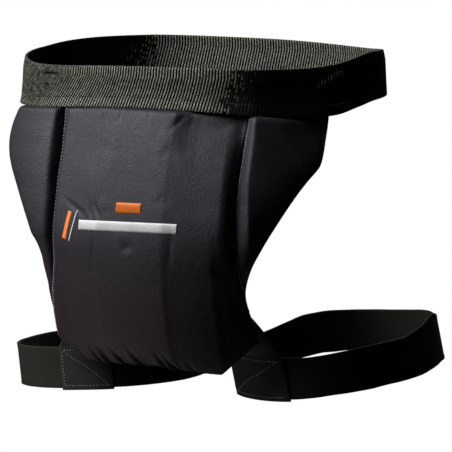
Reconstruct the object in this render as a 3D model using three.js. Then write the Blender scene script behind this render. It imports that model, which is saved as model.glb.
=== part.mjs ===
import * as THREE from 'three';

// Padded seat guard: a waist belt, a seat pad of three sewn panels, two thigh straps and two strap tabs.
// Millimetres. The origin is the middle of the waist loop, the pad faces -Y and +Z is up.

const GAP = 0.35;

const BELT = { thick: 2.0, columns: 100, bands: 3 };
const STRAP = { width: 40.0, thick: 1.6, columns: 84, bands: 2 };
const PAD = {
  backing: 2.5, valley: 2.6, seamPuff: 4.5, topPuff: 8.5, halfColumns: 20, centreRows: 15, closing: 1.3,
};
const HEM = { edge: 4.0, fall: 9.0, tuckDepth: 3.2, tuckWidth: 3.6, tuckLength: 21.0, tuckSlant: 0.28 };
const WING = {
  puff: 18.5, rimFall: 4.6, rimEdge: 2.4, tipZ: -186.0, tipWidth: 3.4, columns: 10, rows: 12,
};
const TAB = { thick: 1.5, overhang: 1.6, behind: 7.0, inset: 5.0, lean: 1.7, columns: 12, lowRows: 4, highRows: 5 };

// The hip form that the pieces lie on: half width, depth at the back and front, and roundness, by height.
const HIP_FORM = [
  { z: -280, half: 146, back: 88, front: 94, power: 2.1 },
  { z: -264, half: 150, back: 102, front: 94, power: 2.1 },
  { z: -245, half: 157, back: 114, front: 94, power: 2.1 },
  { z: -215, half: 166, back: 124, front: 94, power: 2.1 },
  { z: -180, half: 176, back: 130, front: 94, power: 2.2 },
  { z: -140, half: 184, back: 131, front: 94, power: 2.3 },
  { z: -100, half: 186, back: 123, front: 94, power: 2.4 },
  { z: -60, half: 184, back: 112, front: 94, power: 2.5 },
  { z: -20, half: 180, back: 104, front: 94, power: 2.5 },
  { z: 20, half: 177.4, back: 103, front: 94, power: 2.5 },
  { z: 45, half: 176, back: 103, front: 94, power: 2.5 },
];

// The belt's two edges, by the turn round the waist from the middle of the back.
const BELT_EDGES = [
  { turn: 0, low: -21, top: 17 },
  { turn: 45, low: -26, top: 18 },
  { turn: 66, low: -25.5, top: 22 },
  { turn: 90, low: -15, top: 28 },
  { turn: 135, low: -12, top: 27 },
  { turn: 180, low: -12, top: 30 },
  { turn: 225, low: -13, top: 29 },
  { turn: 270, low: -24, top: 21 },
  { turn: 315, low: -27, top: 13 },
];

// The seam between the middle panel and a wing, and the soft drift of the pad's middle line, by height.
const SEAM = [
  { z: -250, x: 106.5, drift: -2.6 },
  { z: -220, x: 105.5, drift: -2.6 },
  { z: -190, x: 103, drift: -2.4 },
  { z: -160, x: 99.5, drift: -1.2 },
  { z: -120, x: 96, drift: 0 },
  { z: -60, x: 95.5, drift: 0 },
  { z: 0, x: 98, drift: 0 },
];

// A wing's outer edge, by height.
const WING_EDGE = [
  { z: -186, x: 106 },
  { z: -170, x: 106.5 },
  { z: -155, x: 111.5 },
  { z: -125, x: 128 },
  { z: -95, x: 145 },
  { z: -85, x: 151 },
  { z: -75, x: 157 },
  { z: -62, x: 160.8 },
  { z: -45, x: 161.5 },
  { z: 0, x: 162 },
];

// Foam of the middle panel: height over the form by distance from the middle, with the two creases.
const FOAM = [
  { x: 0, height: 19.2 },
  { x: 31, height: 19.0 },
  { x: 34, height: 18.0 },
  { x: 37, height: 18.4 },
  { x: 74, height: 15.6 },
  { x: 82, height: 12.6 },
  { x: 92, height: 8.6 },
  { x: 108, height: 4.5 },
];

// The first rows of a pad, by the drop below the belt's lower edge: two behind the belt, then the puff.
const TOP_ROWS = [
  { drop: -14 },
  { drop: 0.5 },
  { drop: 1.4 },
  { drop: 4 },
  { drop: 8 },
  { drop: 14 },
  { drop: 23 },
];

// The hem's lower line, by the share of the panel's half width.
const HEM_LINE = [
  { share: 0, z: -265.5 },
  { share: 0.65, z: -265.5 },
  { share: 1, z: -243 },
];

// Sewn-in tucks of the gathered hem, by place across the panel.
const TUCKS = [
  { x: -61, depth: 0.9 },
  { x: -35, depth: 1.0 },
  { x: -11, depth: 1.0 },
  { x: 3, depth: 0.7 },
  { x: 20, depth: 1.0 },
  { x: 33, depth: 0.8 },
  { x: 47, depth: 0.9 },
];

// The two thigh straps: middle, reach, roundness, turn in plan, the rise across and forward, and the flare.
const STRAPS = {
  left: {
    x: -119.4, y: 45.5, z: -286.4, reachX: 89.7, reachY: 121.1,
    power: 2.37, yaw: 11.6, riseX: 0.078, riseY: -0.062, leanX: -0.03, flare: 0.04,
  },
  right: {
    x: 119.6, y: 48.4, z: -264.3, reachX: 78.4, reachY: 120.7,
    power: 2.2, yaw: -13.5, riseX: 0.03, riseY: 0.057, leanX: -0.17, flare: -0.01,
  },
};

// The stretch of its strap that each tab is sewn to, by the turn round the strap.
const TAB_SPAN = {
  left: { side: -1, inner: 17, outer: -9 },
  right: { side: 1, inner: -26, outer: 21 },
};

const FINISH = {
  belt: { color: 0x4a4a45, roughness: 0.8, metalness: 0 },
  pad: { color: 0x3f3d42, roughness: 0.6, metalness: 0 },
  strap: { color: 0x23251f, roughness: 0.75, metalness: 0 },
};

const clamp = (value, low, high) => Math.min(high, Math.max(low, value));
const mix = (a, b, share) => a + (b - a) * share;
const steps = (count) => Array.from({ length: count + 1 }, (_, i) => i / count);

/** A smooth curve through a table's rows: the column's value at a place along the key. */
function smooth(rows, key, column, place) {
  const last = rows.length - 1;
  const t = clamp(place, rows[0][key], rows[last][key]);
  let i = 0;
  while (i < last - 1 && t > rows[i + 1][key]) {
    i += 1;
  }
  const slope = (k) => {
    const before = rows[Math.max(k - 1, 0)];
    const after = rows[Math.min(k + 1, last)];
    return (after[column] - before[column]) / (after[key] - before[key]);
  };
  const span = rows[i + 1][key] - rows[i][key];
  const s = (t - rows[i][key]) / span;
  const rise = (1 - s) * (1 - s);
  return rows[i][column] * (1 + 2 * s) * rise + slope(i) * span * s * rise
    + rows[i + 1][column] * s * s * (3 - 2 * s) - slope(i + 1) * span * s * s * (1 - s);
}

/** Straight lines through a table's rows. */
function straight(rows, key, column, place) {
  const t = clamp(place, rows[0][key], rows[rows.length - 1][key]);
  let i = 0;
  while (i < rows.length - 2 && t > rows[i + 1][key]) {
    i += 1;
  }
  return mix(rows[i][column], rows[i + 1][column], (t - rows[i][key]) / (rows[i + 1][key] - rows[i][key]));
}

const hipAt = (z) => ({
  half: smooth(HIP_FORM, 'z', 'half', z),
  back: smooth(HIP_FORM, 'z', 'back', z),
  front: smooth(HIP_FORM, 'z', 'front', z),
  power: smooth(HIP_FORM, 'z', 'power', z),
});

/** How far a point is across the hip form: 1 on its surface. */
function hipLevel(x, y, z) {
  const hip = hipAt(z);
  const depth = y < 0 ? hip.back : hip.front;
  return Math.abs(x / hip.half) ** hip.power + Math.abs(y / depth) ** hip.power;
}

/** Moves a point of the hip form out along the form's normal. */
function lifted(point, out) {
  const d = 0.25;
  const [x, y, z] = point;
  const normal = new THREE.Vector3(
    hipLevel(x + d, y, z) - hipLevel(x - d, y, z),
    hipLevel(x, y + d, z) - hipLevel(x, y - d, z),
    hipLevel(x, y, z + d) - hipLevel(x, y, z - d),
  ).normalize();
  return [x + normal.x * out, y + normal.y * out, z + normal.z * out];
}

/** A point of the seat side of the form, by its distance across from the pad's middle line and its height. */
function seatPoint(across, z, out) {
  const hip = hipAt(z);
  const x = across + smooth(SEAM, 'z', 'drift', z);
  const share = clamp(Math.abs(x) / hip.half, 0, 0.999);
  return lifted([x, -hip.back * (1 - share ** hip.power) ** (1 / hip.power), z], out);
}

/** A point of a rounded loop, by its turn from the middle of the back. */
function loopPoint(turn, half, back, front, power) {
  const s = Math.sin(turn);
  const c = Math.cos(turn);
  const depth = c > 0 ? back : front;
  return [
    half * Math.sign(s) * Math.abs(s) ** (2 / power),
    -depth * Math.sign(c) * Math.abs(c) ** (2 / power),
  ];
}

/** Turns that are evenly spaced along a loop. */
function evenTurns(count, place) {
  const fine = 2880;
  const along = [0];
  let from = place(0);
  for (let i = 1; i <= fine; i += 1) {
    const to = place((i / fine) * 2 * Math.PI);
    along.push(along[i - 1] + Math.hypot(to[0] - from[0], to[1] - from[1]));
    from = to;
  }
  const turns = [];
  let i = 0;
  for (let k = 0; k < count; k += 1) {
    const want = (k / count) * along[fine];
    while (along[i + 1] < want) {
      i += 1;
    }
    turns.push(((i + (want - along[i]) / (along[i + 1] - along[i])) / fine) * 2 * Math.PI);
  }
  return turns;
}

/** One closed body between an outer and an inner sheet of the same rows and columns. */
function body(outer, inner, ring) {
  const rows = outer.length;
  const columns = outer[0].length;
  const places = [...outer.flat(), ...inner.flat()];
  const out = (r, c) => r * columns + (c % columns);
  const back = (r, c) => rows * columns + out(r, c);
  const index = [];
  const quad = (a, b, c, d) => index.push(a, b, c, a, c, d);
  const wide = ring ? columns : columns - 1;
  for (let r = 0; r < rows - 1; r += 1) {
    for (let c = 0; c < wide; c += 1) {
      quad(out(r, c), out(r, c + 1), out(r + 1, c + 1), out(r + 1, c));
      quad(back(r, c), back(r + 1, c), back(r + 1, c + 1), back(r, c + 1));
    }
  }
  for (let c = 0; c < wide; c += 1) {
    quad(out(0, c), back(0, c), back(0, c + 1), out(0, c + 1));
    quad(out(rows - 1, c), out(rows - 1, c + 1), back(rows - 1, c + 1), back(rows - 1, c));
  }
  for (let r = 0; !ring && r < rows - 1; r += 1) {
    quad(out(r, 0), out(r + 1, 0), back(r + 1, 0), back(r, 0));
    quad(out(r, columns - 1), back(r, columns - 1), back(r + 1, columns - 1), out(r + 1, columns - 1));
  }
  let volume = 0;
  for (let i = 0; i < index.length; i += 3) {
    const [a, b, c] = [0, 1, 2].map((k) => new THREE.Vector3(...places[index[i + k]]));
    volume += a.dot(b.cross(c));
  }
  const geometry = new THREE.BufferGeometry();
  geometry.setAttribute('position', new THREE.Float32BufferAttribute(places.flat(), 3));
  geometry.setIndex(volume < 0 ? index.reverse() : index);
  geometry.computeVertexNormals();
  return geometry;
}

// The belt's edge rows, repeated a turn before and after so that the curve goes round smoothly.
const BELT_ROUND = [-360, 0, 360].flatMap(
  (shift) => BELT_EDGES.map((row) => ({ ...row, turn: row.turn + shift })),
);

const beltEdge = (turn, column) => smooth(BELT_ROUND, 'turn', column, THREE.MathUtils.radToDeg(turn));

/** The belt's lower edge above a place on the seat side. */
function beltLowAt(x) {
  const hip = hipAt(-20);
  const share = clamp(Math.abs(x) / hip.half, 0, 1) ** (hip.power / 2);
  return beltEdge(Math.sign(x) * Math.asin(share), 'low');
}

/** The waist belt: a band of webbing round the form. */
function waistBelt() {
  const place = (turn, z) => {
    const hip = hipAt(z);
    return loopPoint(turn, hip.half, hip.back, hip.front, hip.power);
  };
  const turns = evenTurns(BELT.columns, (turn) => place(turn, 0));
  const sheet = (out) => steps(BELT.bands).map((share) => turns.map((turn) => {
    const z = mix(beltEdge(turn, 'top'), beltEdge(turn, 'low'), share);
    const [x, y] = place(turn, z);
    const moved = lifted([x, y, z], out);
    return [moved[0], moved[1], z];
  }));
  return body(sheet(GAP / 2 + BELT.thick), sheet(GAP / 2), true);
}

/** The share of its full height that the padding reaches under the belt's lower edge. */
const puffBelow = (drop) => 1 - Math.exp(-Math.max(drop, 0) / PAD.topPuff);

/** How far the outer cloth of a pad stands off where it runs up behind the belt, and below it. */
const underBelt = (drop, full) => (drop < 0.6 ? -GAP / 2 : mix(-GAP / 2, full, puffBelow(drop)));

/** The gathers at the hem, as a depth taken off the padding. */
function hemTucks(x, above) {
  const fade = Math.exp(-((above / HEM.tuckLength) ** 2));
  return TUCKS.reduce((sum, tuck) => {
    const across = (x - tuck.x + above * HEM.tuckSlant) / HEM.tuckWidth;
    return sum + HEM.tuckDepth * tuck.depth * fade * Math.exp(-across * across);
  }, 0);
}

/** A pad's rows: close together under the belt's edge, then on down to its lower end. */
function padRows(count, closing) {
  const last = TOP_ROWS[TOP_ROWS.length - 1];
  const below = steps(count).slice(1).map((share) => ({ drop: last.drop, run: 1 - (1 - share) ** closing }));
  return [...TOP_ROWS.map(({ drop }) => ({ drop, run: 0 })), ...below];
}

/** The middle panel of the seat pad. */
function centrePad() {
  const columns = steps(2 * PAD.halfColumns).map((share) => 2 * share - 1);
  const rows = padRows(PAD.centreRows, PAD.closing);
  const place = (share, row) => {
    const low = beltLowAt(share * smooth(SEAM, 'z', 'x', -22));
    const z = mix(low - row.drop, straight(HEM_LINE, 'share', 'z', Math.abs(share)), row.run);
    return { x: share * (smooth(SEAM, 'z', 'x', z) - GAP / 2), z, low };
  };
  const height = (share, { x, z, low }) => {
    const seamAway = smooth(SEAM, 'z', 'x', z) - Math.abs(x);
    const foam = straight(FOAM, 'x', 'height', Math.abs(x));
    const sewn = mix(PAD.valley, foam, 1 - Math.exp(-seamAway / PAD.seamPuff));
    const above = z - straight(HEM_LINE, 'share', 'z', Math.abs(share));
    const full = mix(sewn, Math.min(HEM.edge, sewn), Math.exp(-above / HEM.fall)) - hemTucks(x, above);
    return underBelt(low - z, Math.max(full, 0.6));
  };
  const outer = rows.map((row) => columns.map((share) => {
    const spot = place(share, row);
    return seatPoint(spot.x, spot.z, height(share, spot));
  }));
  const inner = rows.map((row) => columns.map((share) => {
    const spot = place(share, row);
    return seatPoint(spot.x, spot.z, -PAD.backing);
  }));
  return body(outer, inner, false);
}

/** A hip wing of the seat pad. */
function wingPad(side) {
  const rows = padRows(WING.rows, 1);
  const columns = steps(WING.columns).map((share) => (1 - Math.cos(share * Math.PI)) / 2);
  const topEdge = smooth(WING_EDGE, 'z', 'x', -22);
  const place = (share, row) => {
    const top = beltLowAt(side * mix(smooth(SEAM, 'z', 'x', -22), topEdge, share));
    const z = mix(top - row.drop, WING.tipZ, row.run);
    const seam = smooth(SEAM, 'z', 'x', z) + GAP / 2;
    const edge = Math.max(smooth(WING_EDGE, 'z', 'x', z), seam + WING.tipWidth);
    return { x: mix(seam, edge, share), z, low: top, seam, edge };
  };
  const height = ({ x, z, low, seam, edge }) => {
    const fromSeam = 1 - Math.exp(-(x - seam) / PAD.seamPuff);
    const fromRim = 1 - Math.exp(-(edge - x) / WING.rimFall);
    const sewn = mix(PAD.valley, WING.puff, fromSeam);
    return underBelt(low - z, mix(WING.rimEdge, sewn, fromRim));
  };
  const outer = rows.map((row) => columns.map((share) => {
    const spot = place(share, row);
    return seatPoint(side * spot.x, spot.z, height(spot));
  }));
  const inner = rows.map((row) => columns.map((share) => {
    const spot = place(share, row);
    return seatPoint(side * spot.x, spot.z, -PAD.backing);
  }));
  return body(outer, inner, false);
}

/** A point of a thigh strap, by its turn, its height up the band and its distance out of it. */
function strapPoint(strap, turn, up, out) {
  const reachX = strap.reachX + up * strap.flare + out;
  const reachY = strap.reachY + up * strap.flare + out;
  const [across, along] = loopPoint(turn, reachX, reachY, reachY, strap.power);
  const yaw = THREE.MathUtils.degToRad(strap.yaw);
  const x = across * Math.cos(yaw) - along * Math.sin(yaw);
  const y = across * Math.sin(yaw) + along * Math.cos(yaw);
  const axis = new THREE.Vector3(-strap.riseX, -strap.riseY, 1).normalize();
  return [
    strap.x + x + up * (axis.x + strap.leanX),
    strap.y + y + up * axis.y,
    strap.z + strap.riseX * x + strap.riseY * y + up * axis.z,
  ];
}

/** An elastic thigh strap: a whole ring. */
function thighStrap(strap) {
  const turns = evenTurns(STRAP.columns, (turn) => strapPoint(strap, turn, 0, 0));
  const sheet = (out) => steps(STRAP.bands).map((share) => turns.map(
    (turn) => strapPoint(strap, turn, mix(STRAP.width / 2, -STRAP.width / 2, share), out),
  ));
  return body(sheet(0), sheet(-STRAP.thick), true);
}

/** A sewn tab: flat on its strap below, and leaning up behind the pad's cut corner. */
function strapTab(strap, span) {
  const turnAt = (share) => THREE.MathUtils.degToRad(mix(span.inner, span.outer, share));
  const corner = (share, seat) => {
    const across = mix(HEM_LINE[1].share, 1, share);
    const z = straight(HEM_LINE, 'share', 'z', across) + TAB.behind;
    return seatPoint(span.side * across * (smooth(SEAM, 'z', 'x', z) - TAB.inset), z, seat);
  };
  const sheet = (out, seat) => {
    const low = steps(TAB.lowRows).map((share) => steps(TAB.columns).map((across) => strapPoint(
      strap,
      turnAt(across),
      mix(-STRAP.width / 2 - TAB.overhang, STRAP.width / 2, share),
      out,
    )));
    const top = low[low.length - 1];
    const high = steps(TAB.highRows).slice(1).map((share) => steps(TAB.columns).map((across, c) => {
      const end = corner(across, seat);
      const lean = [share, share ** TAB.lean, share];
      return top[c].map((value, k) => mix(value, end[k], lean[k]));
    }));
    return [...low, ...high];
  };
  const seatOuter = -PAD.backing - GAP;
  return body(sheet(GAP + TAB.thick, seatOuter), sheet(GAP, seatOuter - TAB.thick), false);
}

const guard = new THREE.Group();
guard.name = 'seat_guard';

function add(name, geometry, finish) {
  const mesh = new THREE.Mesh(geometry, new THREE.MeshStandardMaterial({ ...finish }));
  mesh.name = name;
  guard.add(mesh);
}

add('waist_belt', waistBelt(), FINISH.belt);
add('centre_pad', centrePad(), FINISH.pad);
add('left_wing_pad', wingPad(-1), FINISH.pad);
add('right_wing_pad', wingPad(1), FINISH.pad);
add('left_thigh_strap', thighStrap(STRAPS.left), FINISH.strap);
add('right_thigh_strap', thighStrap(STRAPS.right), FINISH.strap);
add('left_strap_tab', strapTab(STRAPS.left, TAB_SPAN.left), FINISH.strap);
add('right_strap_tab', strapTab(STRAPS.right, TAB_SPAN.right), FINISH.strap);

export default guard;
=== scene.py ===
"""Padded seat guard: a ribbed waist belt, a seat pad of three sewn panels, two thigh straps and their tabs.

Sizes are in millimetres in the part's own frame: the origin is the middle of the waist loop, the pad faces -Y
and +Z is up. They become metres when a mesh is made.
"""
import logging
from dataclasses import dataclass, field
from enum import Enum

import bpy
import numpy as np
from mathutils import Matrix


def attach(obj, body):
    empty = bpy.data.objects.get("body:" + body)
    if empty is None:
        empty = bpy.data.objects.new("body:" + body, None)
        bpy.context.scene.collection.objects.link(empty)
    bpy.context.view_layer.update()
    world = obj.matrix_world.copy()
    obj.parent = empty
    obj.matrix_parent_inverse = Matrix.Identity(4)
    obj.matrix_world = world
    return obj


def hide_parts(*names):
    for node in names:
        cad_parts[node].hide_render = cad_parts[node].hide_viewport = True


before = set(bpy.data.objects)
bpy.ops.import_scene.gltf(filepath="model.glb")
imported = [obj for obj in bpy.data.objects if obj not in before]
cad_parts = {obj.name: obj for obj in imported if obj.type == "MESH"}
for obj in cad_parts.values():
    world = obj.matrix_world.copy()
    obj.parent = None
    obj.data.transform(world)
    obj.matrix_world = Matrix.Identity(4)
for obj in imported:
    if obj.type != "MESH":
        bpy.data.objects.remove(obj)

LOG = logging.getLogger("seat_guard")
MM = 0.001
GAP = 0.35  # between pieces that are sewn together
EDGE_TURNS = (0.15, 0.5, 0.85)  # points round a band's edge, as shares of a half turn
ROUND_SHARES = (0.45, 0.8, 0.97)  # lines round a pad's closed edge, as shares of a quarter turn
SEAM_POINTS = 400  # points of a seam's line before it is divided into stitches

Array = np.ndarray
Rows = tuple[tuple[float, ...], ...]
Colour = tuple[float, float, float]


class Slot(Enum):
    """The record's material slots."""

    BELT = "belt_webbing"
    PAD = "pad_fabric"
    STRAP = "strap_elastic"


class Side(Enum):
    """The two sides of the guard, by the sign of X."""

    LEFT = -1
    RIGHT = 1


def mix(a: Array, b: Array, share: Array) -> Array:
    """Goes from a to b as the share goes from 0 to 1."""
    return a + (b - a) * share


def bell(place: Array, width: float) -> Array:
    """A bell curve: 1 at nought, and 1/e at the width."""
    return np.exp(-((place / width) ** 2))


def rise(place: Array, reach: float) -> Array:
    """Climbs from 0 at nought towards 1 over the reach."""
    return 1.0 - np.exp(-np.maximum(place, 0.0) / reach)


def ease(share: Array) -> Array:
    """Goes from 0 to 1 with a level start and a level end: three squares less two cubes."""
    share = np.clip(share, 0, 1)
    return share * share * (3 - 2 * share)


def signed(turn: Array) -> Array:
    """A turn in degrees, from -180 to 180."""
    return (np.degrees(turn) + 180) % 360 - 180


def run_length(points: Array) -> Array:
    """Length along a line at each of its points, from nought at the first."""
    return np.concatenate([[0.0], np.cumsum(np.linalg.norm(np.diff(points, axis=0), axis=1))])


def straight(rows: Rows, column: int, place: Array) -> Array:
    """Straight lines through a table's rows.

    Args:
        rows: the table, with the key in its first column.
        column: the column that is read.
        place: where along the key it is read.

    Returns:
        The column's value at each place.
    """
    table = np.asarray(rows, float)
    return np.interp(place, table[:, 0], table[:, column])


def smooth(rows: Rows, column: int, place: Array) -> Array:
    """A smooth curve through a table's rows: cubic pieces whose slope at a row is that of its two neighbours.

    Args:
        rows: the table, with the key in its first column.
        column: the column that is read.
        place: where along the key it is read.

    Returns:
        The column's value at each place.
    """
    table = np.asarray(rows, float)
    keys, values = table[:, 0], table[:, column]
    last = len(keys) - 1
    before = np.maximum(np.arange(last + 1) - 1, 0)
    after = np.minimum(np.arange(last + 1) + 1, last)
    slopes = (values[after] - values[before]) / (keys[after] - keys[before])
    t = np.clip(place, keys[0], keys[-1])
    i = np.clip(np.searchsorted(keys, t) - 1, 0, last - 1)
    span = keys[i + 1] - keys[i]
    s = (t - keys[i]) / span
    fall = (1 - s) ** 2
    near = values[i] * (1 + 2 * s) * fall + slopes[i] * span * s * fall
    far = values[i + 1] * s * s * (3 - 2 * s) - slopes[i + 1] * span * s * s * (1 - s)
    return near + far


def unit(vectors: Array) -> Array:
    """Vectors of length 1 along the last axis."""
    return vectors / np.maximum(np.linalg.norm(vectors, axis=-1, keepdims=True), 1e-9)


def loop_points(turn: Array, half: Array, back: Array, front: Array, power: Array) -> tuple[Array, Array]:
    """Points of a rounded loop: a superellipse whose depth differs behind and in front.

    Args:
        turn: angle from the middle of the back, towards +X.
        half: half of the width.
        back: depth on the -Y side.
        front: depth on the +Y side.
        power: roundness, 2 for an ellipse.

    Returns:
        The X and the Y of each point.
    """
    s, c = np.sin(turn), np.cos(turn)
    depth = np.where(c > 0, back, front)
    return half * np.sign(s) * np.abs(s) ** (2 / power), -depth * np.sign(c) * np.abs(c) ** (2 / power)


@dataclass(frozen=True)
class HipForm:
    """The form that the pieces lie on. Rows: height, half width, depth behind, depth in front, roundness."""

    rows: Rows = (
        (-280, 146, 88, 94, 2.1), (-264, 150, 102, 94, 2.1), (-245, 157, 114, 94, 2.1),
        (-215, 166, 124, 94, 2.1), (-180, 176, 130, 94, 2.2), (-140, 184, 131, 94, 2.3),
        (-100, 186, 123, 94, 2.4), (-60, 184, 112, 94, 2.5), (-20, 180, 104, 94, 2.5),
        (20, 177.4, 103, 94, 2.5), (45, 176, 103, 94, 2.5),
    )
    step: float = 0.25
    corner_rows: Rows = (
        (0, 0), (0.53, 0), (0.56, 0.6), (0.61, 3.5), (0.667, 7), (0.722, 9.6), (0.778, 11), (0.833, 11.5),
        (0.889, 10.5), (0.944, 7), (0.983, 2), (1, 0), (1.1, 0),
    )
    corner_low: float = -110.0
    corner_high: float = -30.0
    widest: float = 0.999

    def sizes(self, z: Array) -> tuple[Array, Array, Array, Array]:
        """Half width, depth behind, depth in front and roundness at a height."""
        return tuple(smooth(self.rows, column, z) for column in range(1, 5))

    def level(self, x: Array, y: Array, z: Array) -> Array:
        """How far a point is across the form: 1 on its surface."""
        half, back, front, power = self.sizes(z)
        deep = np.abs(y) + self.corner(x / half, y, z)
        return np.abs(x / half) ** power + (deep / np.where(y < 0, back, front)) ** power

    def corner(self, share: Array, y: Array, z: Array) -> Array:
        """How far the waist is drawn in to a flat stretch, behind on the right and in front on the left."""
        fade = ease((z - self.corner_low) / (self.corner_high - self.corner_low))
        depth = np.maximum(smooth(self.corner_rows, 1, np.abs(share)), 0)
        return depth * fade * (share * y < 0)

    def normals(self, points: Array) -> Array:
        """Outward directions of the form: the slope of the level, taken over a small step each way."""
        x, y, z = np.moveaxis(points, -1, 0)
        d = self.step
        return unit(np.stack([
            self.level(x + d, y, z) - self.level(x - d, y, z),
            self.level(x, y + d, z) - self.level(x, y - d, z),
            self.level(x, y, z + d) - self.level(x, y, z - d),
        ], -1))

    def sag(self, x: Array, z: Array) -> Array:
        """How far the seat side falls away from its middle: the depth there less the depth at x."""
        half, back, _, power = self.sizes(z)
        return back * (1 - (1 - np.minimum(np.abs(x) / half, self.widest) ** power) ** (1 / power))

    def ring(self, turn: Array, z: Array, out: Array) -> Array:
        """Points round the form at a height, moved out level from it.

        Args:
            turn: angle from the middle of the back.
            z: height.
            out: distance out of the form.

        Returns:
            The points.
        """
        sizes = self.sizes(z)
        x, y = loop_points(turn, *sizes)
        y = y - np.sign(y) * np.minimum(self.corner(x / sizes[0], y, z), np.abs(y))
        points = np.stack([x, y, z + 0 * x], -1)
        normal = self.normals(points)
        normal[..., 2] = 0
        return points + normal * np.asarray(out)[..., None]

    def outer_side(self, out: Array, points: Array) -> Array:
        """Directions at points, turned over where they lead into the form."""
        return out * np.sign(np.einsum("...k,...k->...", out, self.normals(points)))[..., None]

    def seat(self, x: Array, z: Array, out: Array) -> Array:
        """Points of the form's seat side, moved out along its normal.

        Args:
            x: place across.
            z: height.
            out: distance out of the form.

        Returns:
            The points.
        """
        half, back, _, power = self.sizes(z)
        share = np.minimum(np.abs(x) / half, self.widest)
        y = -back * (1 - share ** power) ** (1 / power)
        y = y + self.corner(share * np.sign(x), y, z)
        points = np.stack([x + 0 * z, y, z + 0 * x], -1)
        return points + self.normals(points) * np.asarray(out)[..., None]


HIP = HipForm()


@dataclass(frozen=True)
class BeltEdges:
    """The belt's two edges. Rows: turn in degrees, lower edge, upper edge."""

    rows: Rows = (
        (0, -21, 17), (45, -26, 18), (62, -24.5, 21.5), (75, -19, 26), (90, -14.5, 30.5), (135, -12, 27),
        (180, -12, 30), (225, -13, 29), (270, -24, 21), (315, -27, 13),
    )
    pad_height: float = -20.0

    def edge(self, turn: Array, column: int) -> Array:
        """An edge's height: the smooth curve through the rows, which goes round from last to first."""
        table = np.asarray(self.rows, float)
        around = np.concatenate([table + [shift, 0, 0] for shift in (-360, 0, 360)])
        return smooth(tuple(map(tuple, around)), column, np.degrees(turn))

    def low(self, turn: Array) -> Array:
        """Height of the lower edge."""
        return self.edge(turn, 1)

    def top(self, turn: Array) -> Array:
        """Height of the upper edge."""
        return self.edge(turn, 2)

    def low_at(self, x: Array) -> Array:
        """Height of the lower edge above a place on the seat side."""
        half, _, _, power = HIP.sizes(np.asarray(self.pad_height))
        share = np.clip(np.abs(x) / half, 0, 1) ** (power / 2)
        return self.low(np.sign(x) * np.arcsin(share))


EDGES = BeltEdges()


@dataclass(frozen=True)
class PadPlan:
    """Lines of the seat pad. Seam rows: height, left seam, right seam. Hem rows: share, height."""

    seam_rows: Rows = (
        (-250, 109.1, 105.5), (-220, 107.6, 104.4), (-210, 105.6, 102.6), (-195, 102.2, 99.8),
        (-160, 91.4, 95.8), (-120, 88.8, 93.4), (-90, 90.2, 93.2), (-60, 91.6, 94.2), (0, 97, 98),
    )
    hem_rows: Rows = (
        (-1, -243), (-0.56, -257.8), (-0.3, -255.8), (0, -255), (0.2, -255.6), (0.4, -258.5), (0.56, -261.5),
        (0.66, -262.5), (1, -234),
    )
    backing: float = 2.5
    valley: float = 2.6
    seam_puff: float = 2.4
    top_puff: float = 1.3
    top_rows: Rows = ((0, 0.7), (10, 0.77), (25, 0.88), (45, 0.97), (60, 1.0))
    top_height: float = -22.0
    flat_drop: float = 0.6

    def seam(self, z: Array, side: Array) -> Array:
        """Distance of the left or the right seam from the middle, by the sign of the side."""
        return np.where(np.asarray(side) < 0, smooth(self.seam_rows, 1, z), smooth(self.seam_rows, 2, z))

    def hem(self, share: Array) -> Array:
        """Height of the hem, by the share of the panel's half width."""
        return straight(self.hem_rows, 1, share)

    def under_belt(self, drop: Array, full: Array) -> Array:
        """Height of a pad's cloth: flat behind the belt, and up to its full height below it."""
        below = mix(-GAP / 2, full * smooth(self.top_rows, 1, drop), rise(drop, self.top_puff))
        return np.where(drop < self.flat_drop, -GAP / 2, below)


PLAN = PadPlan()


@dataclass
class Patch:
    """A grid of surface points, read between its points by shares down its rows and across its columns."""

    points: Array

    def at(self, down: Array, across: Array) -> Array:
        """Points at the shares: straight between the four grid points round each.

        Args:
            down: share down the rows, from 0 to 1.
            across: share across the columns, from 0 to 1.

        Returns:
            The points.
        """
        rows, columns = self.points.shape[:2]
        r = np.clip(down, 0, 1) * (rows - 1)
        c = np.clip(across, 0, 1) * (columns - 1)
        i = np.minimum(r.astype(int), rows - 2)
        j = np.minimum(c.astype(int), columns - 2)
        s, t = (r - i)[..., None], (c - j)[..., None]
        upper = mix(self.points[i, j], self.points[i, j + 1], t)
        lower = mix(self.points[i + 1, j], self.points[i + 1, j + 1], t)
        return mix(upper, lower, s)

    def facing(self, down: Array, across: Array, reach: float = 0.006) -> Array:
        """Unit normals at the shares: the cross product of the steps across and down."""
        step_down = self.at(down + reach, across) - self.at(down - reach, across)
        step_across = self.at(down, across + reach) - self.at(down, across - reach)
        return unit(np.cross(step_down, step_across))


def loft(points: Array, ring: bool) -> tuple[Array, Array]:
    """Quads over a row of closed sections.

    Each section's points join the next section's. A ring's last section joins its first. Otherwise both end
    sections are capped by quads between their first half and their second half.

    Args:
        points: the sections, as an array of sections by points by 3.
        ring: whether the sections go round.

    Returns:
        The vertex numbers of each quad, and each corner's section and point before wrapping.
    """
    count, around = points.shape[:2]
    section, point = np.meshgrid(np.arange(count if ring else count - 1), np.arange(around), indexing="ij")
    corners = np.stack([
        np.stack([section, section, section + 1, section + 1], -1),
        np.stack([point, point + 1, point + 1, point], -1),
    ], -1).reshape(-1, 4, 2)
    if not ring:
        i = np.arange(around // 2 - 1)
        lid = np.stack([i, i + 1, around - 2 - i, around - 1 - i], -1)
        first = np.stack([np.zeros_like(lid), lid], -1)
        last = np.stack([np.full_like(lid, count - 1), lid], -1)
        corners = np.concatenate([corners, first[:, ::-1], last])
    faces = (corners[..., 0] % count) * around + corners[..., 1] % around
    return faces, corners


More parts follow.
